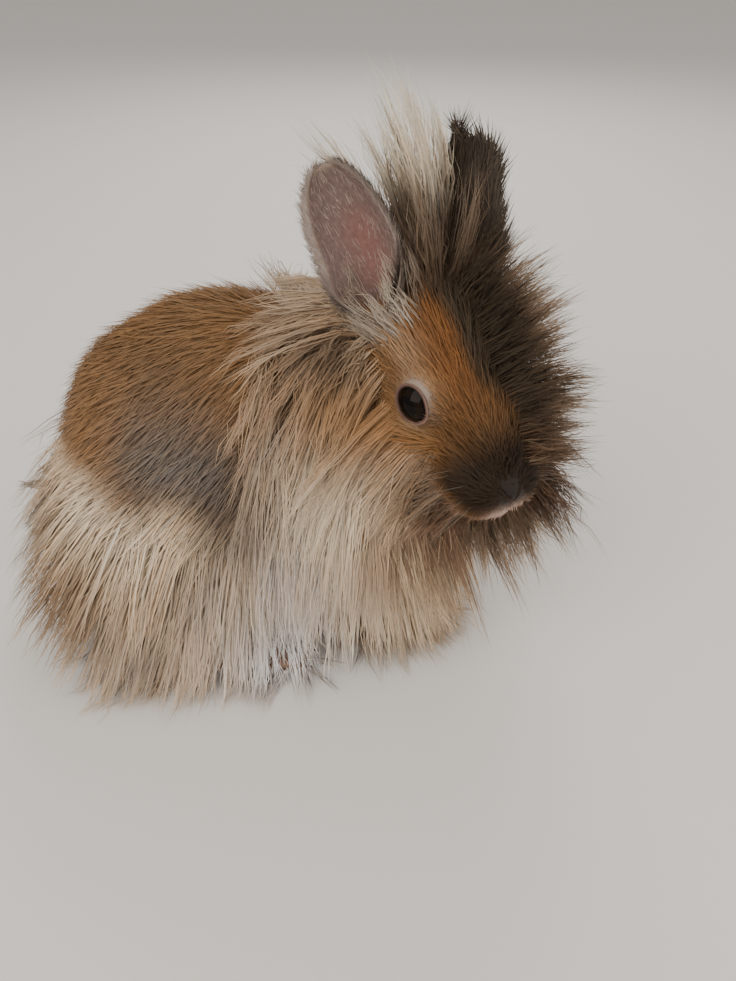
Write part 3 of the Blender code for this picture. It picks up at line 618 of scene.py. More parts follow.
skin_points = points_of(skin_mesh)
paint_points(skin_mesh, coat_colours(skin_points))
skin_mesh.materials.append(coat_material("skin_fur", size=900, depth=0.25, roughness=0.9, bump=0.0004))
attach(skin, "root")
limbs = ("foreleg", "forepaw", "hindleg", "hindfoot")
flesh = ["torso", "neck", "head", "tail", *(limb + side for limb in limbs for side in ("_left", "_right"))]
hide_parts(*flesh)


# The eyes.
# Each is a dark, wet ball set at the head's side, with a wide black pupil in a deep brown iris. Its
# lids are one closed roll of skin round the opening, pressed against the ball.
EYE_RADIUS = 0.0088
EYE_LOOK = np.array((0.22, 0.96, 0.14))
EYE_BULGE = 0.05
PUPIL, IRIS, EYE_WHITE = (0.004, 0.003, 0.003), (0.010, 0.0055, 0.003), (0.34, 0.26, 0.21)
LID_LENGTH, LID_HEIGHT, LID_ROLL, LID_STANCE = 0.0069, 0.0070, 0.0006, 0.0004
LID_DARK, LID_ROSE = (0.05, 0.022, 0.018), (0.17, 0.10, 0.08)


def eye_place(side):
    """The middle of the eyeball on the left, 1, or on the right, -1."""
    return on_head(np.array(EYE_SPOT) * (1, side, 1))


def eye_axes(side):
    """The eye's own axes as columns: towards the nose, up, and out along its look."""
    look = unit(HEAD_AXES @ (EYE_LOOK * (1, side, 1)))
    ahead = unit(HEAD_AXES[:, 0] - look * (HEAD_AXES[:, 0] @ look))
    return np.stack([ahead, np.cross(look, ahead) * side, look], -1)


def eye_front(side):
    """The middle of the eye's opening."""
    return eye_place(side) + EYE_RADIUS * eye_axes(side)[:, 2]


def grid_faces(rows, columns, closed=False):
    """Quads between neighbouring rows and columns of a grid, joined round each row when closed."""
    i, j = np.meshgrid(np.arange(rows - 1), np.arange(columns if closed else columns - 1), indexing="ij")
    k = (j + 1) % columns
    faces = np.stack([i * columns + j, i * columns + k, (i + 1) * columns + k, (i + 1) * columns + j], -1)
    return faces.reshape(-1, 4)


def gloss_eye():
    """A wet, smooth finish that takes its colour from the ball's own coat attribute."""
    material = plain_finish("wet_eye", {"Roughness": 0.05, "IOR": 1.34, "Specular IOR Level": 0.16})
    nodes, links = material.node_tree.nodes, material.node_tree.links
    colour = nodes.new("ShaderNodeAttribute")
    colour.attribute_name = "coat"
    links.new(colour.outputs["Color"], nodes["Principled BSDF"].inputs["Base Color"])
    return material


def eyeball(side):
    """A ball with its front drawn out by 1 + bulge * c^4, for the share c of its radius along the look.
    Its colours go by the share of the radius off that axis: pupil, iris, dark rim and white."""
    centre, axes = eye_place(side), eye_axes(side)
    points, faces = ball_mesh((centre, np.full(3, EYE_RADIUS), axes), 48, 36)
    local = (points - centre) @ axes / EYE_RADIUS
    off = np.hypot(local[:, 0], local[:, 1])
    front = 1 + EYE_BULGE * np.clip(local[:, 2], 0, 1) ** 4
    tint = mix(PUPIL, IRIS, rise(off, 0.42, 0.50) * (1 - rise(off, 0.66, 0.74)))
    return centre + (points - centre) * front[:, None], faces, mix(tint, EYE_WHITE, rise(off, 0.80, 0.88))


def lids(side):
    """A roll of LID_ROLL's radius, 1.35 times as wide, along the oval (length * cos a, height * sin a),
    which lies on the ball and comes to a slight point towards the nose. Its inner side is dark."""
    centre, axes = eye_place(side), eye_axes(side)
    turn = np.linspace(0, 2 * math.pi, 64, endpoint=False)
    about = np.linspace(0, 2 * math.pi, 10, endpoint=False)
    point_in = 1 + 0.05 * np.maximum(np.cos(turn), 0) ** 6
    across, upright = LID_LENGTH * np.cos(turn) * point_in, LID_HEIGHT * np.sin(turn)
    deep = np.sqrt(np.maximum((EYE_RADIUS * 1.02) ** 2 - across**2 - upright**2, 1e-8))
    rim = np.stack([across, upright, deep], -1)
    out = unit(rim)[:, None]
    beside = unit(np.stack([np.cos(turn), np.sin(turn), 0 * turn], -1))[:, None]
    out_by, beside_by = np.cos(about)[None, :, None], 1.35 * np.sin(about)[None, :, None]
    ring = rim[:, None] + LID_ROLL * (out_by * out + beside_by * beside)
    points = centre + (ring + LID_STANCE * beside).reshape(-1, 3) @ axes.T
    faces = grid_faces(len(turn) + 1, len(about), True) % len(points)
    outside = np.tile(rise(np.sin(about), -0.9, -0.2), len(turn))
    front = np.repeat(rise(np.cos(turn), -0.2, 0.9), len(about))
    return points, faces, mix(LID_DARK, LID_ROSE, outside) * (0.9 + 0.2 * front)[:, None]


EYE_GLOSS = gloss_eye()
LID_SKIN = coat_material("lid_skin", size=1200, depth=0.12, roughness=0.45)
for word, side in (("left", 1), ("right", -1)):
    for name, shape, finish in (("eyeball_", eyeball, EYE_GLOSS), ("lids_", lids, LID_SKIN)):
        points, faces, tint = shape(side)
        mesh = fill_mesh(name + word, points, faces[:, ::side])
        paint_points(mesh, tint)
        piece = add_piece(name + word, mesh, finish)
        if shape is eyeball:
            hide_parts("eye_" + word)


# The nose and lips.
# A relief over the tip of the snout: the small pad between two slanted nostrils, the cleft below it,
# the full upper lips, the line of the mouth and the lower lip. Its rim is sunk into the skin. Shade is
# painted along the nostrils, the cleft and the line of the mouth.
NOSE_DARK = (0.013, 0.008, 0.006)
GROOVE_PAINTED_SHADE = (0.012, 0.007, 0.006)
MUZZLE_HALF, MUZZLE_LOW, MUZZLE_TOP = 11, -25, 2
MUZZLE_THICKNESS = 0.0025
# Each swelling is its height, its place beside the middle and up, and its radii across and up.
SWELLINGS = [(0.9, 0, -4.8, 4.6, 3.2), (1.2, 4.4, -13.2, 4.0, 3.2), (1.0, 0, -20.0, 6.0, 2.4)]
# Each groove is its depth and width, its painted shade's strength and width, and the line it follows.
GROOVES = [
    (1.9, 0.55, 1.0, 0.7, [(1.0, -7.6), (2.2, -6.2), (4.2, -4.4)]),
    (1.2, 0.45, 0.7, 0.5, [(0, -7.6), (0, -14.2)]),
    (1.5, 0.50, 0.8, 0.6, [(0, -14.2), (3, -16.6), (7, -18.4), (10, -19.2)]),
]


def closed_sheet(outer, inner):
    """Points and quads of a closed shell between two grids that share their rims' order."""
    sheet = np.concatenate([outer, inner[:, ::-1]], axis=1)
    rows, columns = sheet.shape[:2]
    k = np.arange(columns // 2 - 1)
    cap = np.stack([k, k + 1, columns - 2 - k, columns - 1 - k], -1)
    faces = [grid_faces(rows, columns, True), cap, cap[:, ::-1] + (rows - 1) * columns]
    return sheet.reshape(-1, 3), np.concatenate(faces)[:, ::-1]


def near_line(y, z, line):
    """The distance in the plane from each point to a broken line."""
    best = np.full(y.shape, 1e9)
    for (y0, z0), (y1, z1) in zip(line, line[1:]):
        dy, dz = y1 - y0, z1 - z0
        run = np.clip(((y - y0) * dy + (z - z0) * dz) / (dy**2 + dz**2), 0, 1)
        best = np.minimum(best, np.hypot(y - y0 - run * dy, z - z0 - run * dz))
    return best


def snout_surface(y, z):
    """The skin's points straight ahead of each place across and up, by halving the stretch between a
    depth inside the head and one outside it."""
    near, far = np.full(y.shape, 20.0), np.full(y.shape, 60.0)
    for _ in range(22):
        middle = (near + far) / 2
        inside = skin_field(on_head(np.stack([middle, y, z], -1))) < 0
        near, far = np.where(inside, middle, near), np.where(inside, far, middle)
    return on_head(np.stack([near, y, z], -1))


across = np.linspace(-MUZZLE_HALF, MUZZLE_HALF, 73)
y, z = np.meshgrid(across, np.linspace(MUZZLE_LOW, MUZZLE_TOP, 90), indexing="ij")
muzzle_points = snout_surface(y, z)
muzzle_slope = slope_of(skin_field, muzzle_points, 8e-4)
wide = np.abs(y)
relief, dark = np.zeros(y.shape), np.zeros(y.shape)
for height, middle, up, radius_across, radius_up in SWELLINGS:
    relief += height * np.exp(-((wide - middle) / radius_across) ** 2 - ((z - up) / radius_up) ** 2)
for depth, width, darkness, dark_width, line in GROOVES:
    gap = near_line(wide, z, line)
    relief -= depth * np.exp(-(gap / width) ** 2)
    dark = np.maximum(dark, darkness * np.exp(-(gap / dark_width) ** 2))
rim = np.minimum(rise(z, MUZZLE_LOW, MUZZLE_LOW + 3.5), rise(MUZZLE_TOP - z, 0, 3.5))
rim = np.minimum(rise(MUZZLE_HALF - wide, 0, 4), rim)
relief = (relief + 0.1) * rim - 0.9 * (1 - rim)
outer = muzzle_points + (relief * 0.001)[..., None] * muzzle_slope
points, faces = closed_sheet(outer, muzzle_points - MUZZLE_THICKNESS * muzzle_slope)
mesh = fill_mesh("muzzle", points, faces)
pad = np.exp(-((y / 4.4) ** 4) - ((z + 5.0) / 3.4) ** 4)
tint = head_colours(muzzle_points.reshape(-1, 3)).reshape(y.shape + (3,)) * 0.8
# Shade is painted along the grooves of the nostrils, the cleft and the mouth.
tint = mix(mix(tint, NOSE_DARK, pad), GROOVE_PAINTED_SHADE, dark)
paint_points(mesh, np.concatenate([tint, tint[:, ::-1]], axis=1).reshape(-1, 3))
add_piece("muzzle", mesh, coat_material("nose_skin", size=1600, depth=0.2, roughness=0.55, bump=0.0002))


# The ears.
# Each is an upright cup of thin skin: rolled to a tube at its root, which is sunk into the head, open
# to the side and round at the tip. It is mauve with a pink depth inside, and brown or dark behind.
EAR_ROOT = (-33, 14, 14)
EAR_LENGTH, EAR_WIDTH, EAR_THICKNESS = 0.055, 0.032, 0.0016
EAR_WIDEST = {"ear_right": 0.40, "ear_left": 0.58}
EAR_SIDES = {"ear_right": -1, "ear_left": 1}
EAR_LEAN = {"ear_right": (-0.73, -0.25, 0.665), "ear_left": (-0.64, 0.20, 0.742)}
EAR_MOUTH = {"ear_right": (0.50, -0.70, 0.50), "ear_left": (-0.16, 0.97, 0.15)}
EAR_SUNK, EAR_TIP = -0.22, 0.998
ROOT_CURL, TIP_CURL = 135, 62
ROOT_WIDTH, ROOT_TAPER = 0.48, 2.5
EAR_HOLLOW = 0.004
EAR_PINK = (0.205, 0.100, 0.085)
EAR_MAUVE = (0.165, 0.112, 0.100)
EAR_RIM = (0.400, 0.300, 0.230)
EAR_BACKS = {"ear_right": (0.150, 0.115, 0.088), "ear_left": (0.034, 0.024, 0.016)}


def ear_root(side):
    """The middle of the ear's root on the left, 1, or on the right, -1."""
    return on_head(np.array(EAR_ROOT) * (1, side, 1))


def ear_surface(name, t, s, depth):
    """Points of an ear at the share t of its length and s, from -1 to 1 across: a circular section of
    radius w / sin(curl), with its half width w and its curl falling from root to tip, moved by the
    depth along the section's outward direction."""
    rise_up = unit(HEAD_AXES @ np.array(EAR_LEAN[name]))
    mouth = HEAD_AXES @ np.array(EAR_MOUTH[name])
    mouth = unit(mouth - rise_up * (mouth @ rise_up))
    across = np.cross(rise_up, mouth)
    widest = EAR_WIDEST[name]
    low = np.clip(t, 0, None)
    opening = np.minimum(low / widest, 1)
    past = np.clip((t - widest) / (1 - widest), 0, None)
    rounding = np.clip(1 - past**2.2, 0.004, None) ** 0.5
    root_width = ROOT_WIDTH * (1 + ROOT_TAPER * np.minimum(t, 0))
    swelling = (1 - ROOT_WIDTH) * np.sin(math.pi / 2 * opening)
    half_width = EAR_WIDTH / 2 * (root_width + swelling) * rounding
    curl = np.radians(ROOT_CURL - (ROOT_CURL - TIP_CURL) * opening)
    radius = half_width / np.sin(np.minimum(curl, math.pi / 2))
    back = ear_root(EAR_SIDES[name]) + rise_up * (t * EAR_LENGTH)[..., None]
    back = back - mouth * (EAR_HOLLOW * np.sin(math.pi * low))[..., None]
    angle = s * curl
    outward = np.sin(angle)[..., None] * across - np.cos(angle)[..., None] * mouth
    return back + radius[..., None] * (outward + mouth) + depth[..., None] * outward, outward


def ear_colours(name, t, s):
    """The inner face's mauve, pink in the depth of the cup, pale at its rim and darker at its root."""
    pink = np.exp(-((s - 0.10) / 0.42) ** 2) * rise(t, 0.05, 0.2) * (1 - rise(t, 0.5, 0.8))
    edge = np.maximum(rise(np.abs(s), 0.80, 0.98), rise(t, 0.93, 0.99))
    tint = mix(mix(EAR_MAUVE, EAR_PINK, pink), EAR_RIM, edge)
    return tint * (0.55 + 0.45 * rise(t, 0.0, 0.3))[..., None]


EAR_FUR = coat_material("ear_fur", size=700, depth=0.15, roughness=0.8, bump=0.0002)
for name in EAR_SIDES:
    up = EAR_SUNK + (EAR_TIP - EAR_SUNK) * np.sin(math.pi / 2 * np.linspace(0, 1, 72))
    t, s = np.meshgrid(up, np.linspace(-1, 1, 41), indexing="ij")
    rim = np.sqrt(np.clip(1 - s**6, 0, 1))
    half = EAR_THICKNESS / 2 * (0.35 + 0.65 * rim) * (1 - 0.6 * rise(t, 0.86, 0.992))
    points, faces = closed_sheet(ear_surface(name, t, s, half)[0], ear_surface(name, t, s, -half)[0])
    mesh = fill_mesh(name + "_skin", points, faces)
    back = np.broadcast_to(EAR_BACKS[name], s.shape + (3,))
    tint = np.concatenate([back, ear_colours(name, t, s)[:, ::-1]], axis=1)
    paint_points(mesh, tint.reshape(-1, 3))
    piece = add_piece(name + "_skin", mesh, EAR_FUR)
    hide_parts(name)


# The coat.
# All hair is solid mesh: closed, flat, three-sided tufts that taper to a point, rooted in the skin.
# Short fur lies along the body, and long wool is combed in locks, with many strands to each.
TUFT_PATCH = 0.003
TUFT_GIRTH = ((0, 0.25, 0.6, 1), (0.75, 1.0, 0.8, 0.15))
ROUNDING = 0.18
MOST_TRIANGLES = 190000
FUR_RINGS, FUR_STRAY, FUR_ROOT = 3, 0.3, 0.0006
WOOL_STRAY, WOOL_ROOT, WOOL_ON_FLOOR = 0.14, 0.0015, 0.022
# Painted light: the wool's roots are lightened to lift the shadows between its strands.
WOOL_ROOT_PAINTED_LIGHT = (1.1, 1.05, 1.0, 1.0, 1.0)
LOCK_STEPS, LOCK_PUSH = 12, 0.006
LOCK_GAP, LOCK_GAP_MORE = 0.0015, 0.002
LOCK_TONE, DARKENED, DARKENED_LONE = 0.06, 0.68, 0.7
STRAND_WARMTH = 0.04
TICK_DARK, TICK_STRENGTH = (0.02, 0.014, 0.01), 0.6
DOWN, BACK = np.array((0, 0, -1.0)), np.array((-1.0, 0, 0))

# The skin's triangles, from which all hair grows: their corners, areas, middles, normals and parts.
corner_index = np.empty(len(skin_mesh.polygons) * 3, np.int32)
skin_mesh.loops.foreach_get("vertex_index", corner_index)
corner_index = corner_index.reshape(-1, 3)
corners = skin_points[corner_index]
corner_uv = np.empty(len(skin_mesh.loops) * 2, np.float32)
skin_mesh.uv_layers["OFBake"].uv.foreach_get("vector", corner_uv)
corner_uv = corner_uv.reshape(-1, 3, 2)
face_cross = np.cross(corners[:, 1] - corners[:, 0], corners[:, 2] - corners[:, 0])
face_area = np.linalg.norm(face_cross, axis=1) / 2
face_middle = corners.mean(axis=1)
face_normal = unit(face_cross)
face_part = nearest_part(face_middle)


def scatter(count, weight, seed):
    """Roots spread evenly over the skin in proportion to area times weight: even steps along the
    faces' running total, at a random place in each face. Gives places, normals and unwrap places."""
    chance = np.random.default_rng(seed)
    total = np.cumsum(face_area * weight)
    steps = (np.arange(count) + chance.random(count)) / count * total[-1]
    pick = np.minimum(np.searchsorted(total, steps), len(total) - 1)
    a, b = chance.random((2, count))
    past = a + b > 1
    a[past], b[past] = 1 - a[past], 1 - b[past]
    shares = np.stack([1 - a - b, a, b], -1)[..., None]
    roots = (corners[pick] * shares).sum(axis=1)
    return roots, slope_of(skin_field, roots, 1e-3), (corner_uv[pick] * shares).sum(axis=1)


def tuft_faces(rings):
    """The triangles of one tuft: its sides between rings, its tip, and its root cap."""
    faces = []
    for ring in range(rings - 2):
        for k in range(3):
            low, j = 3 * ring, (k + 1) % 3
            faces += [(low + k, low + 3 + j, low + j), (low + k, low + 3 + k, low + 3 + j)]
    last = 3 * (rings - 2)
    faces += [(last, last + 3, last + 1), (last + 1, last + 3, last + 2), (last + 2, last + 3, last)]
    return np.array(faces + [(0, 1, 2)])


def add_coat(name, paths, widths, outward, colours, spots, material, flat=0.35, turn=0.0):
    """Tufts along paths of K points each: every ring but the last is a triangle across the path with its
    broad side down, as wide as the tuft's width times the girth there and flat by the share given, and
    the last is the tip. The normals follow the surface below, so that a coat is shaded as one soft
    whole. A coat of more than the most triangles is split into numbered pieces."""
    rings, count = paths.shape[:2]
    ahead = unit(np.gradient(paths, axis=0))
    side = unit(np.cross(ahead, outward))
    up = np.cross(side, ahead)
    if np.ndim(turn):
        cosine, sine = np.cos(turn)[:, None], np.sin(turn)[:, None]
        side, up = cosine * side + sine * up, cosine * up - sine * side
    share = np.linspace(0, 1, rings)[:-1]
    half = widths[None, :, None] / 2 * np.interp(share, *TUFT_GIRTH)[:, None, None]
    middle = paths[:-1]
    ring = np.stack([
        middle + half * side[:-1] - 0.4 * flat * half * up[:-1],
        middle + flat * half * up[:-1],
        middle - half * side[:-1] - 0.4 * flat * half * up[:-1],
    ], axis=2)
    body = ring.transpose(1, 0, 2, 3).reshape(count, -1, 3)
    points = np.concatenate([body, paths[-1][:, None]], axis=1)
    shade = np.repeat(colours[:-1], 3, axis=0).transpose(1, 0, 2)
    shade = np.concatenate([shade, colours[-1][:, None]], axis=1)
    faces = tuft_faces(rings)
    soft = outward if outward.shape[0] == rings else np.repeat(outward, rings, axis=0)
    beside = np.stack([side[:-1], 0 * side[:-1], -side[:-1]], axis=2) * ROUNDING
    facing = (soft[:-1, :, None] + beside).transpose(1, 0, 2, 3).reshape(count, -1, 3)
    facing = unit(np.concatenate([facing, soft[-1][:, None]], axis=1))
    layout = np.array([(-1, 0), (0, 0), (1, 0)] * (rings - 1) + [(0, 0)], float)
    layout[:, 1] = np.append(np.repeat(share, 3), 1) * 2 - 1
    most = MOST_TRIANGLES // len(faces)
    pieces = math.ceil(count / most)
    for k in range(pieces):
        own = np.arange(k, count, pieces)
        full = faces[None] + (np.arange(len(own)) * points.shape[1])[:, None, None]
        full = full.reshape(-1, 3)
        mesh = fill_mesh(name, points[own].reshape(-1, 3), full)
        layer = mesh.uv_layers.new(name="OFBake")
        map_spots = (spots[own][:, None] + layout[None] * TUFT_PATCH / 2).reshape(-1, 2)[full.ravel()]
        layer.uv.foreach_set("vector", map_spots.astype(np.float32).ravel())
        paint_points(mesh, shade[own].reshape(-1, 3))
        mesh.normals_split_custom_set_from_vertices(facing[own].reshape(-1, 3))
        add_piece(name if pieces == 1 else f"{name}_{k + 1}", mesh, material)


def tint_strands(colours, seed, spread, painted_light_ramp, ticking=0.0):
    """Each strand's own lightness and warmth, times factors from root to tip that paint shade on the roots
    of short fur and light on the roots of wool, with the share `ticking` of the tips dark."""
    chance = np.random.default_rng(seed)
    rings, count = colours.shape[:2]
    t = np.linspace(0, 1, rings)
    light = np.exp(chance.normal(0, spread, count))[None, :, None]
    warm = 1 + chance.normal(0, STRAND_WARMTH, count)[None, :, None] * np.array((1.0, 0.0, -1.2))
    along = np.interp(t, np.linspace(0, 1, len(painted_light_ramp)), painted_light_ramp)[:, None, None]
    ticked = chance.random(count) < ticking
    tip = TICK_STRENGTH * rise(t, 0.35, 0.75)[:, None] * ticked
    return np.clip(mix(colours * light * warm * along, TICK_DARK, tip), 0.001, 0.9)


def at(measure, points):
    """A measure for each point where it is a function of the place, or the same one for all."""
    return measure(points) if callable(measure) else measure


SHORT_FUR = coat_material("short_fur", size=1500, depth=0.12, roughness=0.75)
LONG_WOOL = coat_material("long_wool", size=500, depth=0.10, roughness=0.7)


def lay_fur(name, count, weight, seed, lie_of, colour_of, length, width, lift, spread, painted_light_ramp, ticking=0.0):
    """Short fur: each tuft leaves the skin at a low angle and bends down along the lie, with its
    height h(t) = L * lift * (t - 0.55 t^2)."""
    roots, normals, spots = scatter(count, weight, seed)
    chance = np.random.default_rng(seed + 1)
    lie = lie_of(roots, normals)
    lie = lie - normals * np.sum(lie * normals, axis=1, keepdims=True)
    lie = unit(unit(lie) + FUR_STRAY * chance.normal(0, 0.5, roots.shape))
    lengths = (at(length, roots) * chance.uniform(0.75, 1.2, count))[None, :, None]
    lifts = (at(lift, roots) * chance.uniform(0.5, 1.4, count))[None, :, None]
    t = np.linspace(0, 1, FUR_RINGS)[:, None, None]
    paths = roots - FUR_ROOT * normals + lengths * (t * lie + lifts * (t - 0.55 * t * t) * normals)
    colours = colour_of(paths.reshape(-1, 3)).reshape(paths.shape)
    # The given factors from root to tip paint shade on each tuft's root.
    colours = tint_strands(colours, seed + 2, spread, painted_light_ramp, ticking)
    widths = width * chance.uniform(0.7, 1.3, count)
    paths[..., 2] = np.maximum(paths[..., 2], FLOOR_GAP)
    add_coat(name, paths, widths, normals[None], colours, spots, SHORT_FUR)


def comb(roots, lie, normals, lengths, lifts, depth, under, sag, curl):
    """Paths of the locks: each keeps its heading, bent down by the sag and back by the curl, stays a
    height over the forms below that grows along it, and stays off the floor."""
    heading = unit(unit(lie) + 0.3 * normals)
    place = roots.copy()
    track = [place]
    for k in range(1, LOCK_STEPS + 1):
        share = k / LOCK_STEPS
        heading = unit(heading + sag / LOCK_STEPS * DOWN + curl / LOCK_STEPS * BACK)
        moved = place + heading * (lengths / LOCK_STEPS)[:, None]
        need = -depth + (depth + lifts) * min(1.0, share * 1.7)
        outward = slope_of(under, moved)
        short = np.maximum(need - under(moved), 0)
        moved = moved + outward * np.minimum(short, LOCK_PUSH)[:, None]
        moved[:, 2] = np.maximum(moved[:, 2], LOCK_GAP + LOCK_GAP_MORE * (1 - share))
        heading = unit(0.5 * heading + 0.5 * unit(moved - place))
        place = moved
        track.append(place)
    return np.array(track)


def sample(track, share):
    """Each path's point at its own share of the way along, between its steps."""
    steps = len(track) - 1
    where = np.clip(share, 0, 1) * steps
    low = np.minimum(where.astype(int), steps - 1)
    part = (where - low)[..., None]
    own = np.arange(track.shape[1])
    return track[low, own] * (1 - part) + track[low + 1, own] * part


def grow_wool(name, locks, strands, weight, seed, lie_of, colour_of, under, length, width, lift, depth, sag,
              curl=0.0, clump=0.2, rings=5, wave=0.002, spread=0.10, shortest=0.5, streaks=0.0):
    """Long wool: locks are combed from roots all over the weighted skin, and each strand follows its
    nearest lock, drawn in towards it by clump * t, with a slow wave of its own. Streaks is the share
    of the locks, and half of it that of the lone strands, that are darker than the rest."""
    chance = np.random.default_rng(seed)
    roots, normals, _ = scatter(locks, weight, seed + 1)
    lie = lie_of(roots, normals) + WOOL_STRAY * chance.normal(size=roots.shape)
    lengths = at(length, roots) * chance.uniform(0.85, 1.15, locks)
    lengths = np.minimum(lengths, roots[:, 2] + WOOL_ON_FLOOR)
    lifts = at(lift, roots) * chance.uniform(0.15, 1.05, locks)
    track = comb(roots, lie, normals, lengths, lifts, depth, under, sag, curl)
    starts, start_normals, spots = scatter(strands, weight, seed + 2)
    gaps = ((starts[:, None] - roots[None]) ** 2).sum(axis=2) * chance.uniform(0.6, 1.4, (strands, locks))
    own = np.argmin(gaps, axis=1)
    reach = chance.uniform(shortest, 1.08, strands)
    drift = starts - roots[own]
    phase = chance.uniform(0, 2 * math.pi, (2, strands))
    sway = chance.normal(size=(strands, 3)) * wave
    paths = []
    for share in np.linspace(0, 1, rings):
        along = sample(track[:, own], np.full(strands, share) * reach)
        pull = 1 - clump * share**0.8
        swing = np.sin(phase[0] + share * 5.5)[:, None] * share
        paths.append(along + drift * pull + swing * sway)
    paths = np.array(paths)
    paths[0] -= WOOL_ROOT * start_normals
    paths[..., 2] = np.maximum(paths[..., 2], FLOOR_GAP)
    outward = slope_of(under, paths.reshape(-1, 3)).reshape(paths.shape)
    colours = colour_of(paths.reshape(-1, 3)).reshape(paths.shape)
    lock_tone = np.exp(chance.normal(0, LOCK_TONE, locks))
    lock_tone = np.where(chance.random(locks) < streaks, DARKENED * lock_tone, lock_tone)[own]
    lone = chance.random(strands) < streaks * 0.5
    lock_tone = np.where(lone, DARKENED_LONE, lock_tone)[None, :, None]
    # The wool's factors from root to tip paint light on the roots of its strands.
    colours = tint_strands(colours * lock_tone, seed + 3, spread, WOOL_ROOT_PAINTED_LIGHT)
    widths = width * chance.uniform(0.6, 1.3, strands)
    turn = chance.normal(0, 0.5, strands)
    add_coat(name, paths, widths, outward, colours, spots, LONG_WOOL, turn=turn)


def is_part(name):
    """1 for each face of the skin that belongs to the part, and 0 elsewhere."""
    return (face_part == PARTS.index(name)).astype(float)


def over(*names):
    """The field that wool lies on: the distance to the named parts at their full, outer girth."""
    return lambda points: melted_parts(OUTER, names, WOOL_BLEND, points)


def from_ear(points):
    """The distance to the nearer ear's root, and that ear's side."""
    right, left = (np.linalg.norm(points - ear_root(side), axis=1) for side in (-1, 1))
    return np.minimum(right, left), np.where(right < left, -1, 1)


def from_eye(points):
    """The distance to the middle of the nearer eye's opening."""
    return np.minimum(*(np.linalg.norm(points - eye_front(side), axis=1) for side in (1, -1)))


face_x, _, face_z = to_body(face_middle).T
head_x, head_y, head_z = to_head(face_middle).T
eye_gap, ear_gap = from_eye(face_middle), from_ear(face_middle)[0]
ANY = math.inf


def head_zone(x, y, z):
    """1 for each face of the head between two limits along each of the head's axes, and 0 elsewhere."""
    zone = is_part("head")
    for place, (low, high) in zip((head_x, head_y, head_z), (x, y, z)):
        zone = zone * (place > low) * (place < high)
    return zone


# The back's fur.
# Short, dense fur covers the body from the neck to the tail and down the sides. Each tuft is rooted
# in the skin and lies backwards, and those low on the flanks are longer.
skirt_edge = np.interp(face_x, (-150, -120, -90, -60, -40, 0), (112, 114, 108, 100, 118, 130))
in_back = is_part("body") * rise(face_z, skirt_edge - 16, skirt_edge - 2)


def back_lie(points, normals):
    """Backwards, and downwards by as much as the skin faces sideways."""
    down = -0.35 - 0.7 * np.clip(np.abs(normals[:, 1]) * 1.1, 0, 1)
    return np.stack([-np.ones(len(points)), 0 * down, down], -1)


def back_length(points):
    """15 mm, and 25 mm on the flanks."""
    return 0.015 + 0.010 * (1 - rise(to_body(points)[:, 2], 100, 140))


lay_fur("back_fur", 22000, in_back, 101, back_lie, body_colours, length=back_length, width=0.0007,
        lift=0.22, spread=0.07, painted_light_ramp=(0.9, 0.97, 1.03), ticking=0.16)


# The face's fur.
# It is the shortest fur of all on the nose, and lengthens to the crown and the cheeks. It leaves the
# eyes' openings, the nose pad, the parting of the lips and the ears' roots bare.
def face_lie(points, normals):
    """Away from the nose, over the crown and back and down along the cheeks."""
    low = rise(-to_head(points)[:, 2], 2, 14)[:, None]
    return unit(points - on_head((52, 0, -8))) + 0.5 * low * DOWN


def face_length(points):
    """A length for each place along the bridge, another along the flank, and short beside the eye."""
    x, y, z = to_head(points).T
    bridge = np.interp(x, (-40, -10, 15, 30, 38, 46), (0.017, 0.015, 0.0105, 0.0075, 0.0050, 0.0036))
    flank = np.interp(x, (-40, 10, 24, 34, 40), (0.016, 0.017, 0.015, 0.010, 0.006))
    length = bridge + (flank - bridge) * rise(-z, -4, 10) * rise(np.abs(y), 4, 10)
    return length * (0.2 + 0.8 * rise(from_eye(points), 0.008, 0.019))


def face_lift(points):
    """Steep on the nose and the crown, and low between them."""
    return np.interp(to_head(points)[:, 0], (-35, -10, 10, 25, 40), (0.75, 0.65, 0.45, 0.6, 1.0))


off_eye = rise(eye_gap, 0.0066, 0.0082)
off_pad = 1 - 0.97 * np.exp(-((head_y / 4.2) ** 4) - ((head_z + 5.5) / 3.6) ** 4) * (head_x > 38)
off_lips = 1 - 0.85 * np.exp(-((head_y / 7.0) ** 4) - ((head_z + 16.5) / 3.2) ** 4) * (head_x > 36)
density = np.interp(head_x, (-30, 10, 40), (0.7, 1.1, 3.0))
face_weight = is_part("head") * off_eye * off_pad * off_lips * rise(ear_gap, 0.007, 0.011) * density
lay_fur("face_fur", 16000, face_weight, 111, face_lie, head_colours, length=face_length, width=0.0005,
        lift=face_lift, spread=0.10, painted_light_ramp=(0.9, 0.98, 1.03), ticking=0.12)


# The eyes' pale rings.
# A ring of very short, pale fur surrounds each eye just outside its lids. Its tufts are rooted in the
# skin and point away from the eye, into the fur of the face.
RING_PALE = (0.300, 0.225, 0.170)


def ring_lie(points, normals):
    """Away from the middle of the nearer eyeball."""
    right, left = eye_place(-1), eye_place(1)
    near_left = np.linalg.norm(points - left, axis=1) < np.linalg.norm(points - right, axis=1)
    return points - np.where(near_left[:, None], left, right)


def ring_colours(points):
    """Plain pale fur."""
    return all_one(RING_PALE, points)


ring_weight = is_part("head") * rise(eye_gap, 0.0060, 0.0075) * (1 - rise(eye_gap, 0.0088, 0.0105))
lay_fur("eye_ring_fur", 1300, ring_weight, 115, ring_lie, ring_colours, length=0.0034, width=0.0004,
        lift=0.5, spread=0.1, painted_light_ramp=(0.8, 1.0, 1.05))


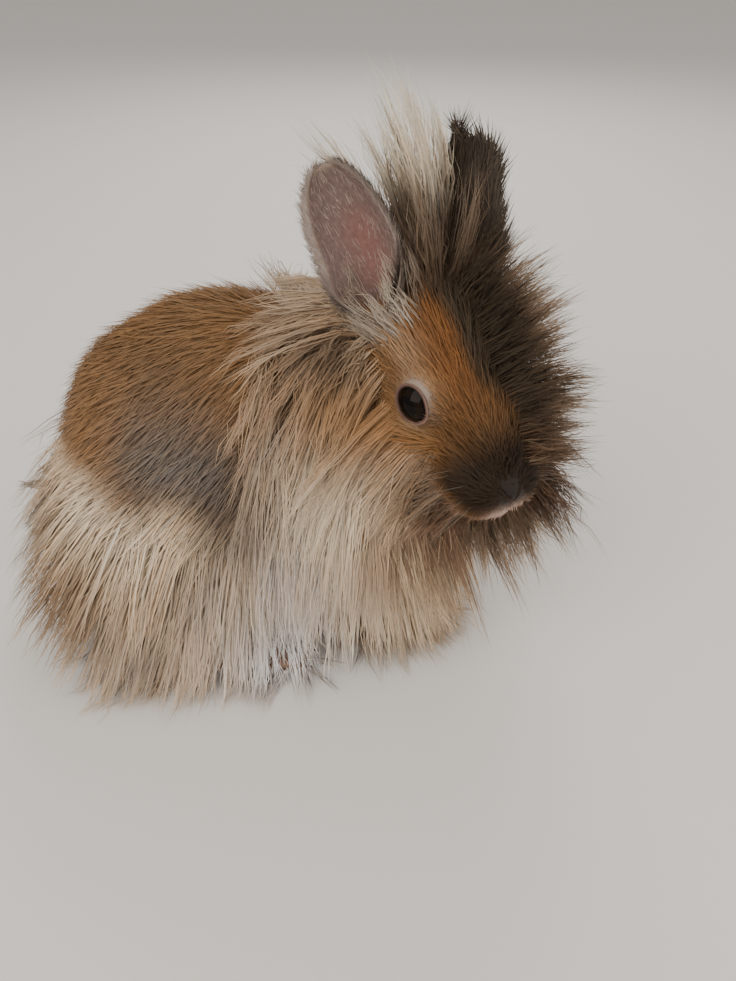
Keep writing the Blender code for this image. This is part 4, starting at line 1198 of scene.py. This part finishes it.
# The whiskers.
# They are stiff, dark, tapering hairs that spring from the pads of the upper lip, go out to each side
# and a little forwards, and droop. Their roots are drawn onto the skin.
WHISKERS, WHISKER_LENGTH, WHISKER_WIDTH, WHISKER_POINTS = 13, 0.030, 0.00020, 8
WHISKER_DARK = (0.16, 0.13, 0.10)
both = 2 * WHISKERS
chance = np.random.default_rng(131)
side = np.repeat((1, -1), WHISKERS)
roots = on_head(np.stack([chance.uniform(29, 40, both), side * 9.0, chance.uniform(-15, -7, both)], -1))
for _ in range(8):
    roots = roots - skin_field(roots)[:, None] * slope_of(skin_field, roots)
forwards = (0.25 + 0.25 * chance.normal(size=(both, 1))) * HEAD_AXES[:, 0]
upwards = 0.2 * chance.normal(size=(both, 1)) * HEAD_AXES[:, 2]
way = unit(side[:, None] * HEAD_AXES[:, 1] + forwards + upwards)
t = np.linspace(0, 1, WHISKER_POINTS)[:, None, None]
reach = WHISKER_LENGTH * chance.uniform(0.6, 1.1, both)[None, :, None]
droop = -0.35 * HEAD_AXES[:, 0] + np.array((0, 0, -0.4))
paths = roots + reach * (t * way + 0.5 * t**2 * droop)
facing, spots = np.tile((0, 0, 1.0), (1, both, 1)), np.full((both, 2), 0.5)
tint = np.tile(WHISKER_DARK, (WHISKER_POINTS, both, 1))
add_coat("whiskers", paths, np.full(both, WHISKER_WIDTH), facing, tint, spots, SHORT_FUR, flat=1.0)


# The claws.
# They are dark horn, one to a toe, and mostly hidden by the wool. Each is a slim curved spike with its
# root inside the toe.
CLAW_LENGTH, CLAW_RADIUS, CLAW_HEIGHT = 0.009, 0.0012, 4.0
CLAW_HORN = (0.045, 0.032, 0.024)


def claw(middle, length, radius):
    """A ball stretched to the claw's length, thinned to 0.4 of its girth at the tip and curved down by
    0.35 of its half length times (u + 1)^2 / 4, with u from -1 at its root to 1 at its tip."""
    points, faces = ball_mesh((np.zeros(3), np.ones(3), np.eye(3)), 14, 12)
    u = points[:, :1]
    thin = 1 - 0.3 * (u + 1)
    drop = np.array((0, 0, -0.35 * length / 2)) * (u + 1) ** 2 / 4
    return middle + np.concatenate([u * length / 2, points[:, 1:] * thin * radius], axis=1) + drop, faces


claw_points, claw_faces = [], []
for side in (1, -1):
    for i in (-1.5, -0.5, 0.5, 1.5):
        forepaw = (37 - 1.2 * abs(i), 21 * side + 4.4 * i)
        hindfoot = (-29 - 1.5 * abs(i), 52 * side + 5.0 * i)
        for x, y in (forepaw, hindfoot):
            place = np.array((x, y, CLAW_HEIGHT)) / 1000 + STAND
            points, faces = claw(place, CLAW_LENGTH, CLAW_RADIUS)
            claw_faces.append(faces + sum(len(done) for done in claw_points))
            claw_points.append(points)
mesh = fill_mesh("claws", np.concatenate(claw_points), np.concatenate(claw_faces))
paint_points(mesh, np.tile(CLAW_HORN, (len(mesh.vertices), 1)))
add_piece("claws", mesh, coat_material("horn", size=2500, depth=0.2, roughness=0.4, bump=0.0001))


# The fur of the feet and legs.
# Short, close, fawn fur covers the paws, the hind feet and the forelegs, under the wool. It is rooted
# in their skin and lies down and forwards.
def leg_lie(points, normals):
    """Down and forwards."""
    return np.tile((0.5, 0.0, -0.8), (len(points), 1))


lay_fur("foot_fur", 2000, is_part("legs"), 121, leg_lie, leg_colours, length=0.006, width=0.0006,
        lift=0.25, spread=0.12, painted_light_ramp=(0.6, 0.95, 1.05))


# The skirt.
# Long, soft wool of the haunches, flanks and chest hangs to the floor all round. Its locks are rooted
# in the lower body and fall over the legs.
def skirt_lie(points, normals):
    """Down and a little outwards, leaning back at the rump and forwards at the chest."""
    lean = np.interp(to_body(points)[:, 0], (-140, -50, -15, 20), (-0.9, -0.25, -0.12, 0.25))
    return np.stack([lean, 0.25 * normals[:, 1], -np.ones(len(points))], -1)


in_skirt = is_part("body") * rise(-face_z, -skirt_edge, -skirt_edge + 14) * (face_normal[:, 2] > -0.75)
grow_wool("skirt", 900, 11500, in_skirt, 201, skirt_lie, body_colours, over("body", "legs"), length=0.062,
          width=0.0006, lift=0.012, depth=0.006, sag=0.5, clump=0.22, spread=0.07, streaks=0.06)


# The tail's wool.
# The short round tail is clothed in wool that lies backwards and down, inside the skirt's.
def tail_lie(points, normals):
    """Outwards, backwards and down."""
    return normals + np.array((-0.6, 0, -0.4))


grow_wool("tail_wool", 60, 1100, is_part("tail"), 211, tail_lie, tail_colours, over("tail", "body"),
          length=0.018, width=0.0006, lift=0.005, depth=0.005, sag=0.8, clump=0.75, wave=0.0014, spread=0.12)


# The mane.
# The breed's long wool falls from behind the ears and cheeks over the shoulders and the chest. It is
# rooted in the neck, the shoulders and the forearms, and is short at the nape.
def mane_lie(points, normals):
    """Down and back, outwards over each shoulder and forwards over the chest."""
    place = to_body(points)
    side = np.sign(place[:, 1] + 6)[:, None] * normals[:, 2:] ** 2
    front = rise(place[:, 0], 5, 30)[:, None] * np.array((1.0, -0.15, 0))
    outwards = 0.55 * normals * np.array((0.8, 1, 0))
    return outwards + side * np.array((0, 0.6, 0)) + front + np.array((-0.30, 0, -1.0))


def nape(points):
    """0 below the nape and 1 on top of it."""
    return np.clip((to_body(points)[:, 2] - 150) / 18, 0, 1)


def mane_length(points):
    """78 mm, and under a third of that on the nape."""
    return 0.078 * (1 - 0.7 * nape(points))


def mane_lift(points):
    """12 mm over the body, and about a third of that on the nape."""
    return 0.012 * (1 - 0.65 * nape(points))


chest = 1 + 0.8 * rise(face_x, 24, 44)
shoulders = is_part("body") * rise(face_x, -48, -30) * rise(face_z, 92, 110) * 0.7
forearms = is_part("legs") * (face_x > -62) * (face_z > 6)
mane_weight = is_part("neck") * chest + shoulders + 0.9 * forearms
grow_wool("mane", 900, 12500, mane_weight, 221, mane_lie, mane_colours, over("body", "legs", "neck"),
          length=mane_length, width=0.0006, lift=mane_lift, depth=0.010, sag=0.9, clump=0.25, wave=0.0022,
          spread=0.06, streaks=0.05)


# The near cheek's wool.
# Long wool is rooted below and behind the near eye and under the chin, and falls down and back into
# the mane.
def near_cheek_lie(points, normals):
    """Down, back and outwards."""
    return -0.3 * HEAD_AXES[:, 0] + 0.45 * normals + np.array((-0.55, -0.05, -0.9))


def near_cheek_length(points):
    """60 mm behind the cheek, down to 26 mm beside the mouth."""
    return np.interp(to_head(points)[:, 0], (-20, 8, 26, 36), (0.060, 0.052, 0.036, 0.026))


def near_cheek_colours(points):
    """Honey beside the eye and fawn under the chin, and the mane's own colours further down."""
    return mark(mane_colours(points), to_head(points), [
        ((0, -22, -14), 14, HONEY, 0.85),
        ((-25, -30, -5), 18, HONEY, 0.9),
        ((26, -8, -28), 20, FAWN, 0.95),
        ((24, -2, -46), 24, FAWN, 0.9),
        ((38, -4, -22), 8, BUFF, 0.6),
    ])


UNDER_CHEEK = over("body", "legs", "neck", "head")
near_edge = np.interp(head_x, (-30, -15, 32), (10, -6, -12))
near_cheek = head_zone((-38, 32), (-ANY, -7), (-ANY, near_edge))
chin = head_zone((-8, 38), (-ANY, 6), (-ANY, -19))
near_weight = np.maximum(near_cheek, chin)
grow_wool("near_cheek_wool", 300, 5500, near_weight, 231, near_cheek_lie, near_cheek_colours, UNDER_CHEEK,
          length=near_cheek_length, width=0.0005, lift=0.009, depth=0.002, sag=0.7, streaks=0.10)


# The far cheek's wool and the beard.
# Wool stands out from the far cheek and brow like rays, up over the brow and down below the eye. The
# beard below it hangs from the far side of the chin.
def far_cheek_lie(points, normals):
    """Out to the side, from steeply down below the cheek to steeply up at the brow."""
    x, y, z = to_head(points).T
    lift = np.interp(z, (-24, -8, 4, 20), (-1.3, -0.35, 0.25, 1.0))[:, None]
    ahead = np.interp(x, (-30, 0, 30), (-0.45, -0.05, 0.15))[:, None]
    return HEAD_AXES[:, 1] + ahead * HEAD_AXES[:, 0] + lift * HEAD_AXES[:, 2] + 0.3 * normals


def far_cheek_length(points):
    """56 mm behind to 30 mm beside the mouth, longer below, shorter at the brow and by the bridge."""
    x, y, z = to_head(points).T
    ahead = np.interp(x, (-30, -5, 16, 36), (0.056, 0.048, 0.041, 0.030))
    return ahead * np.interp(z, (-20, 0, 22), (1.2, 0.95, 0.6)) * np.interp(y, (2, 10), (0.6, 1.0))


def far_cheek_colours(points):
    """Sable by the forehead, brown beside the muzzle, and fawn with buff below."""
    x, y, z = to_head(points).T
    colours = mix(np.array(BROWN) * 0.7, np.array(TAN) * 1.3, rise(y, 20, 48))
    colours = mix(colours, DARK_SABLE, rise(z, 4, 16) * (1 - rise(y, 14, 28)))
    return mix(mix(colours, FAWN, rise(-z, 6, 24)), BUFF, 0.6 * rise(-z, 26, 50))


def far_beard_lie(points, normals):
    """Down, and forwards past the chest."""
    return 0.35 * normals + 0.15 * HEAD_AXES[:, 1] + np.array((0.42, -0.24, -1.0))


off_far_eye = rise(np.linalg.norm(face_middle - eye_front(1), axis=1), 0.008, 0.011)
far_weight = head_zone((-40, 38), (3 + 0.12 * head_x, ANY), (-34, 32)) * off_far_eye
grow_wool("far_cheek_wool", 420, 6000, far_weight, 236, far_cheek_lie, far_cheek_colours, UNDER_CHEEK,
          length=far_cheek_length, width=0.00045, lift=0.018, depth=0.002, sag=0.3, wave=0.0025,
          spread=0.12, streaks=0.1)
far_beard = head_zone((-20, 36), (-2, ANY), (-ANY, -10))
grow_wool("far_beard", 220, 5000, far_beard, 246, far_beard_lie, far_cheek_colours, UNDER_CHEEK,
          length=0.062, width=0.0005, lift=0.012, depth=0.002, sag=0.35, wave=0.003, spread=0.12,
          streaks=0.1)


# The forelock.
# A plume of cream wool with dark roots rises from the crown between the ears, and curls over towards
# the rabbit's back.
DARK_ROOTS = np.array(BROWN) * 0.35


def forelock_lie(points, normals):
    """Up and back from the crown, fanned out to each side by its place across."""
    y = to_head(points)[:, 1][:, None]
    return -0.62 * HEAD_AXES[:, 0] + (0.07 * y + 0.36) * HEAD_AXES[:, 1] + 0.78 * HEAD_AXES[:, 2]


def forelock_colours(points):
    """Dark at the roots, and cream from 26 to 52 head units away from them."""
    gap = np.linalg.norm(to_head(points) - np.array((-36, 0, 14)), axis=1)
    return mix(DARK_ROOTS, CREAM, rise(gap, 26, 52))


between_ears = head_zone((-44, -28), (-5, 7), (6, ANY))
grow_wool("forelock", 18, 1200, between_ears, 241, forelock_lie, forelock_colours, over("head"),
          length=0.072, width=0.0006, lift=0.002, depth=0.002, sag=0.0, curl=0.7, clump=0.7, rings=6,
          wave=0.003, shortest=0.4)


# The ears' hair.
# Fine hair grows on the ears' own skin: pale along the rims and thin inside the cup, and dark and
# shaggy on the backs, with a darker fringe along the far ear's edge and at its tip.
RIM_HAIR = (0.46, 0.37, 0.32)
INNER_HAIR = (0.34, 0.25, 0.215)
EDGE_DARK = (0.060, 0.044, 0.031)
EAR_SKIN = 0.0006


def ear_hair(name, count, seed, across, along, inner, heading, length, width, tint):
    """Hairs at random places between the given shares across and along the ear, on its inner or outer
    face. The heading mixes the way up the ear, the way to its rim and the way out from its face."""
    chance = np.random.default_rng(seed)
    s, t = chance.uniform(*across, count), chance.uniform(*along, count)
    s = s * chance.choice((-1, 1), count)
    half = np.full(count, -EAR_SKIN if inner else EAR_SKIN)
    roots, out = ear_surface(name, t, s, half)
    up = unit(ear_surface(name, t + 0.01, s, half)[0] - roots)
    rim = unit(ear_surface(name, t, s + 0.01 * np.sign(s), half)[0] - roots)
    out = -out if inner else out
    stray = 0.2 * chance.normal(size=roots.shape)
    way = unit(heading[0] * up + heading[1] * rim + heading[2] * out + stray)
    share = np.linspace(0, 1, FUR_RINGS)[:, None, None]
    reach = (length * chance.uniform(0.5, 1.2, count))[None, :, None]
    paths = roots[None] + reach * (share * way[None] + 0.25 * share**2 * (up - 0.4 * out)[None])
    # The factors from 0.85 to 1.05 paint shade on each hair's root.
    colours = tint_strands(np.tile(tint, (FUR_RINGS, count, 1)), seed + 1, 0.12, (0.85, 1.0, 1.05))
    spots = np.stack([(0.52 if inner else 0.02) + 0.23 * (s + 1), 0.02 + 0.9 * (t + 0.12)], -1)
    name = f"{name}_{'inner' if inner else 'outer'}_{seed}"
    add_coat(name, paths, np.full(count, width), out[None], colours, spots, SHORT_FUR)


for name, seed, shag in (("ear_right", 301, 0.0040), ("ear_left", 311, 0.0065)):
    ear_hair(name, 1900, seed, across=(0.86, 1.0), along=(0.0, 0.99), inner=True, heading=(0.7, 0.8, 0.15),
             length=0.0055, width=0.0003, tint=RIM_HAIR)
    ear_hair(name, 1000, seed + 1, across=(0.0, 0.95), along=(0.05, 0.93), inner=True,
             heading=(1.0, 0.3, 0.12), length=0.0042, width=0.00025, tint=INNER_HAIR)
    ear_hair(name, 1900, seed + 2, across=(0.0, 0.99), along=(0.0, 0.95), inner=False,
             heading=(1.0, 0.3, 0.30), length=shag, width=0.0005, tint=EAR_BACKS[name])
ear_hair("ear_left", 900, 317, across=(0.85, 1.0), along=(0.1, 0.96), inner=False, heading=(1.0, 0.6, 0.1),
         length=0.010, width=0.0004, tint=EDGE_DARK)
ear_hair("ear_left", 160, 319, across=(0.0, 0.6), along=(0.90, 0.975), inner=False,
         heading=(1.0, -0.4, 0.1), length=0.012, width=0.0004, tint=EDGE_DARK)


# The wool round the ears' roots.
# A ring of soft tufts hides where each ear leaves the head. It is rooted in the head's skin round the
# ear and rises along it, pale outside and dark towards the crown.
ROOT_PALE = (0.40, 0.32, 0.25)


def ear_root_lie(points, normals):
    """Along the nearer ear, and outwards."""
    side = from_ear(points)[1]
    lean = np.where(side[:, None] < 0, EAR_LEAN["ear_right"], EAR_LEAN["ear_left"]) @ HEAD_AXES.T
    return lean + 0.5 * normals


def ear_root_colours(points):
    """Pale on the near side and dark brown from the crown to the far ear."""
    return mix(ROOT_PALE, np.array(BROWN) * 0.4, rise(to_head(points)[:, 1], -17, -9))


ear_ring = rise(ear_gap, 0.008, 0.010) * (1 - rise(ear_gap, 0.014, 0.022))
ear_root_weight = (is_part("head") + is_part("neck")) * ear_ring * (head_z > -4)
grow_wool("ear_root_wool", 90, 2600, ear_root_weight, 251, ear_root_lie, ear_root_colours, over("head"),
          length=0.024, width=0.0004, lift=0.004, depth=0.002, sag=0.1, clump=0.3, rings=4)


# The crown's wool.
# Dark wool with lighter tips stands on the crown between the ears, rooted in its skin, and the cream
# forelock rises through it.
def crown_lie(points, normals):
    """As the forelock, but fanned wider and further out."""
    y = to_head(points)[:, 1][:, None]
    return forelock_lie(points, normals) + 0.03 * y * HEAD_AXES[:, 1] + 0.2 * normals


def crown_colours(points):
    """Dark at the roots and tan at the tips."""
    return mix(DARK_ROOTS, np.array(TAN) * 0.7, rise(to_head(points)[:, 2], 28, 60))


crown = head_zone((-48, -22), (-5, 12), (4, ANY))
grow_wool("crown_wool", 70, 2000, crown, 256, crown_lie, crown_colours, over("head"), length=0.044,
          width=0.0004, lift=0.002, depth=0.002, sag=0.0, curl=0.4, clump=0.4, rings=4, wave=0.003,
          spread=0.14, shortest=0.3)
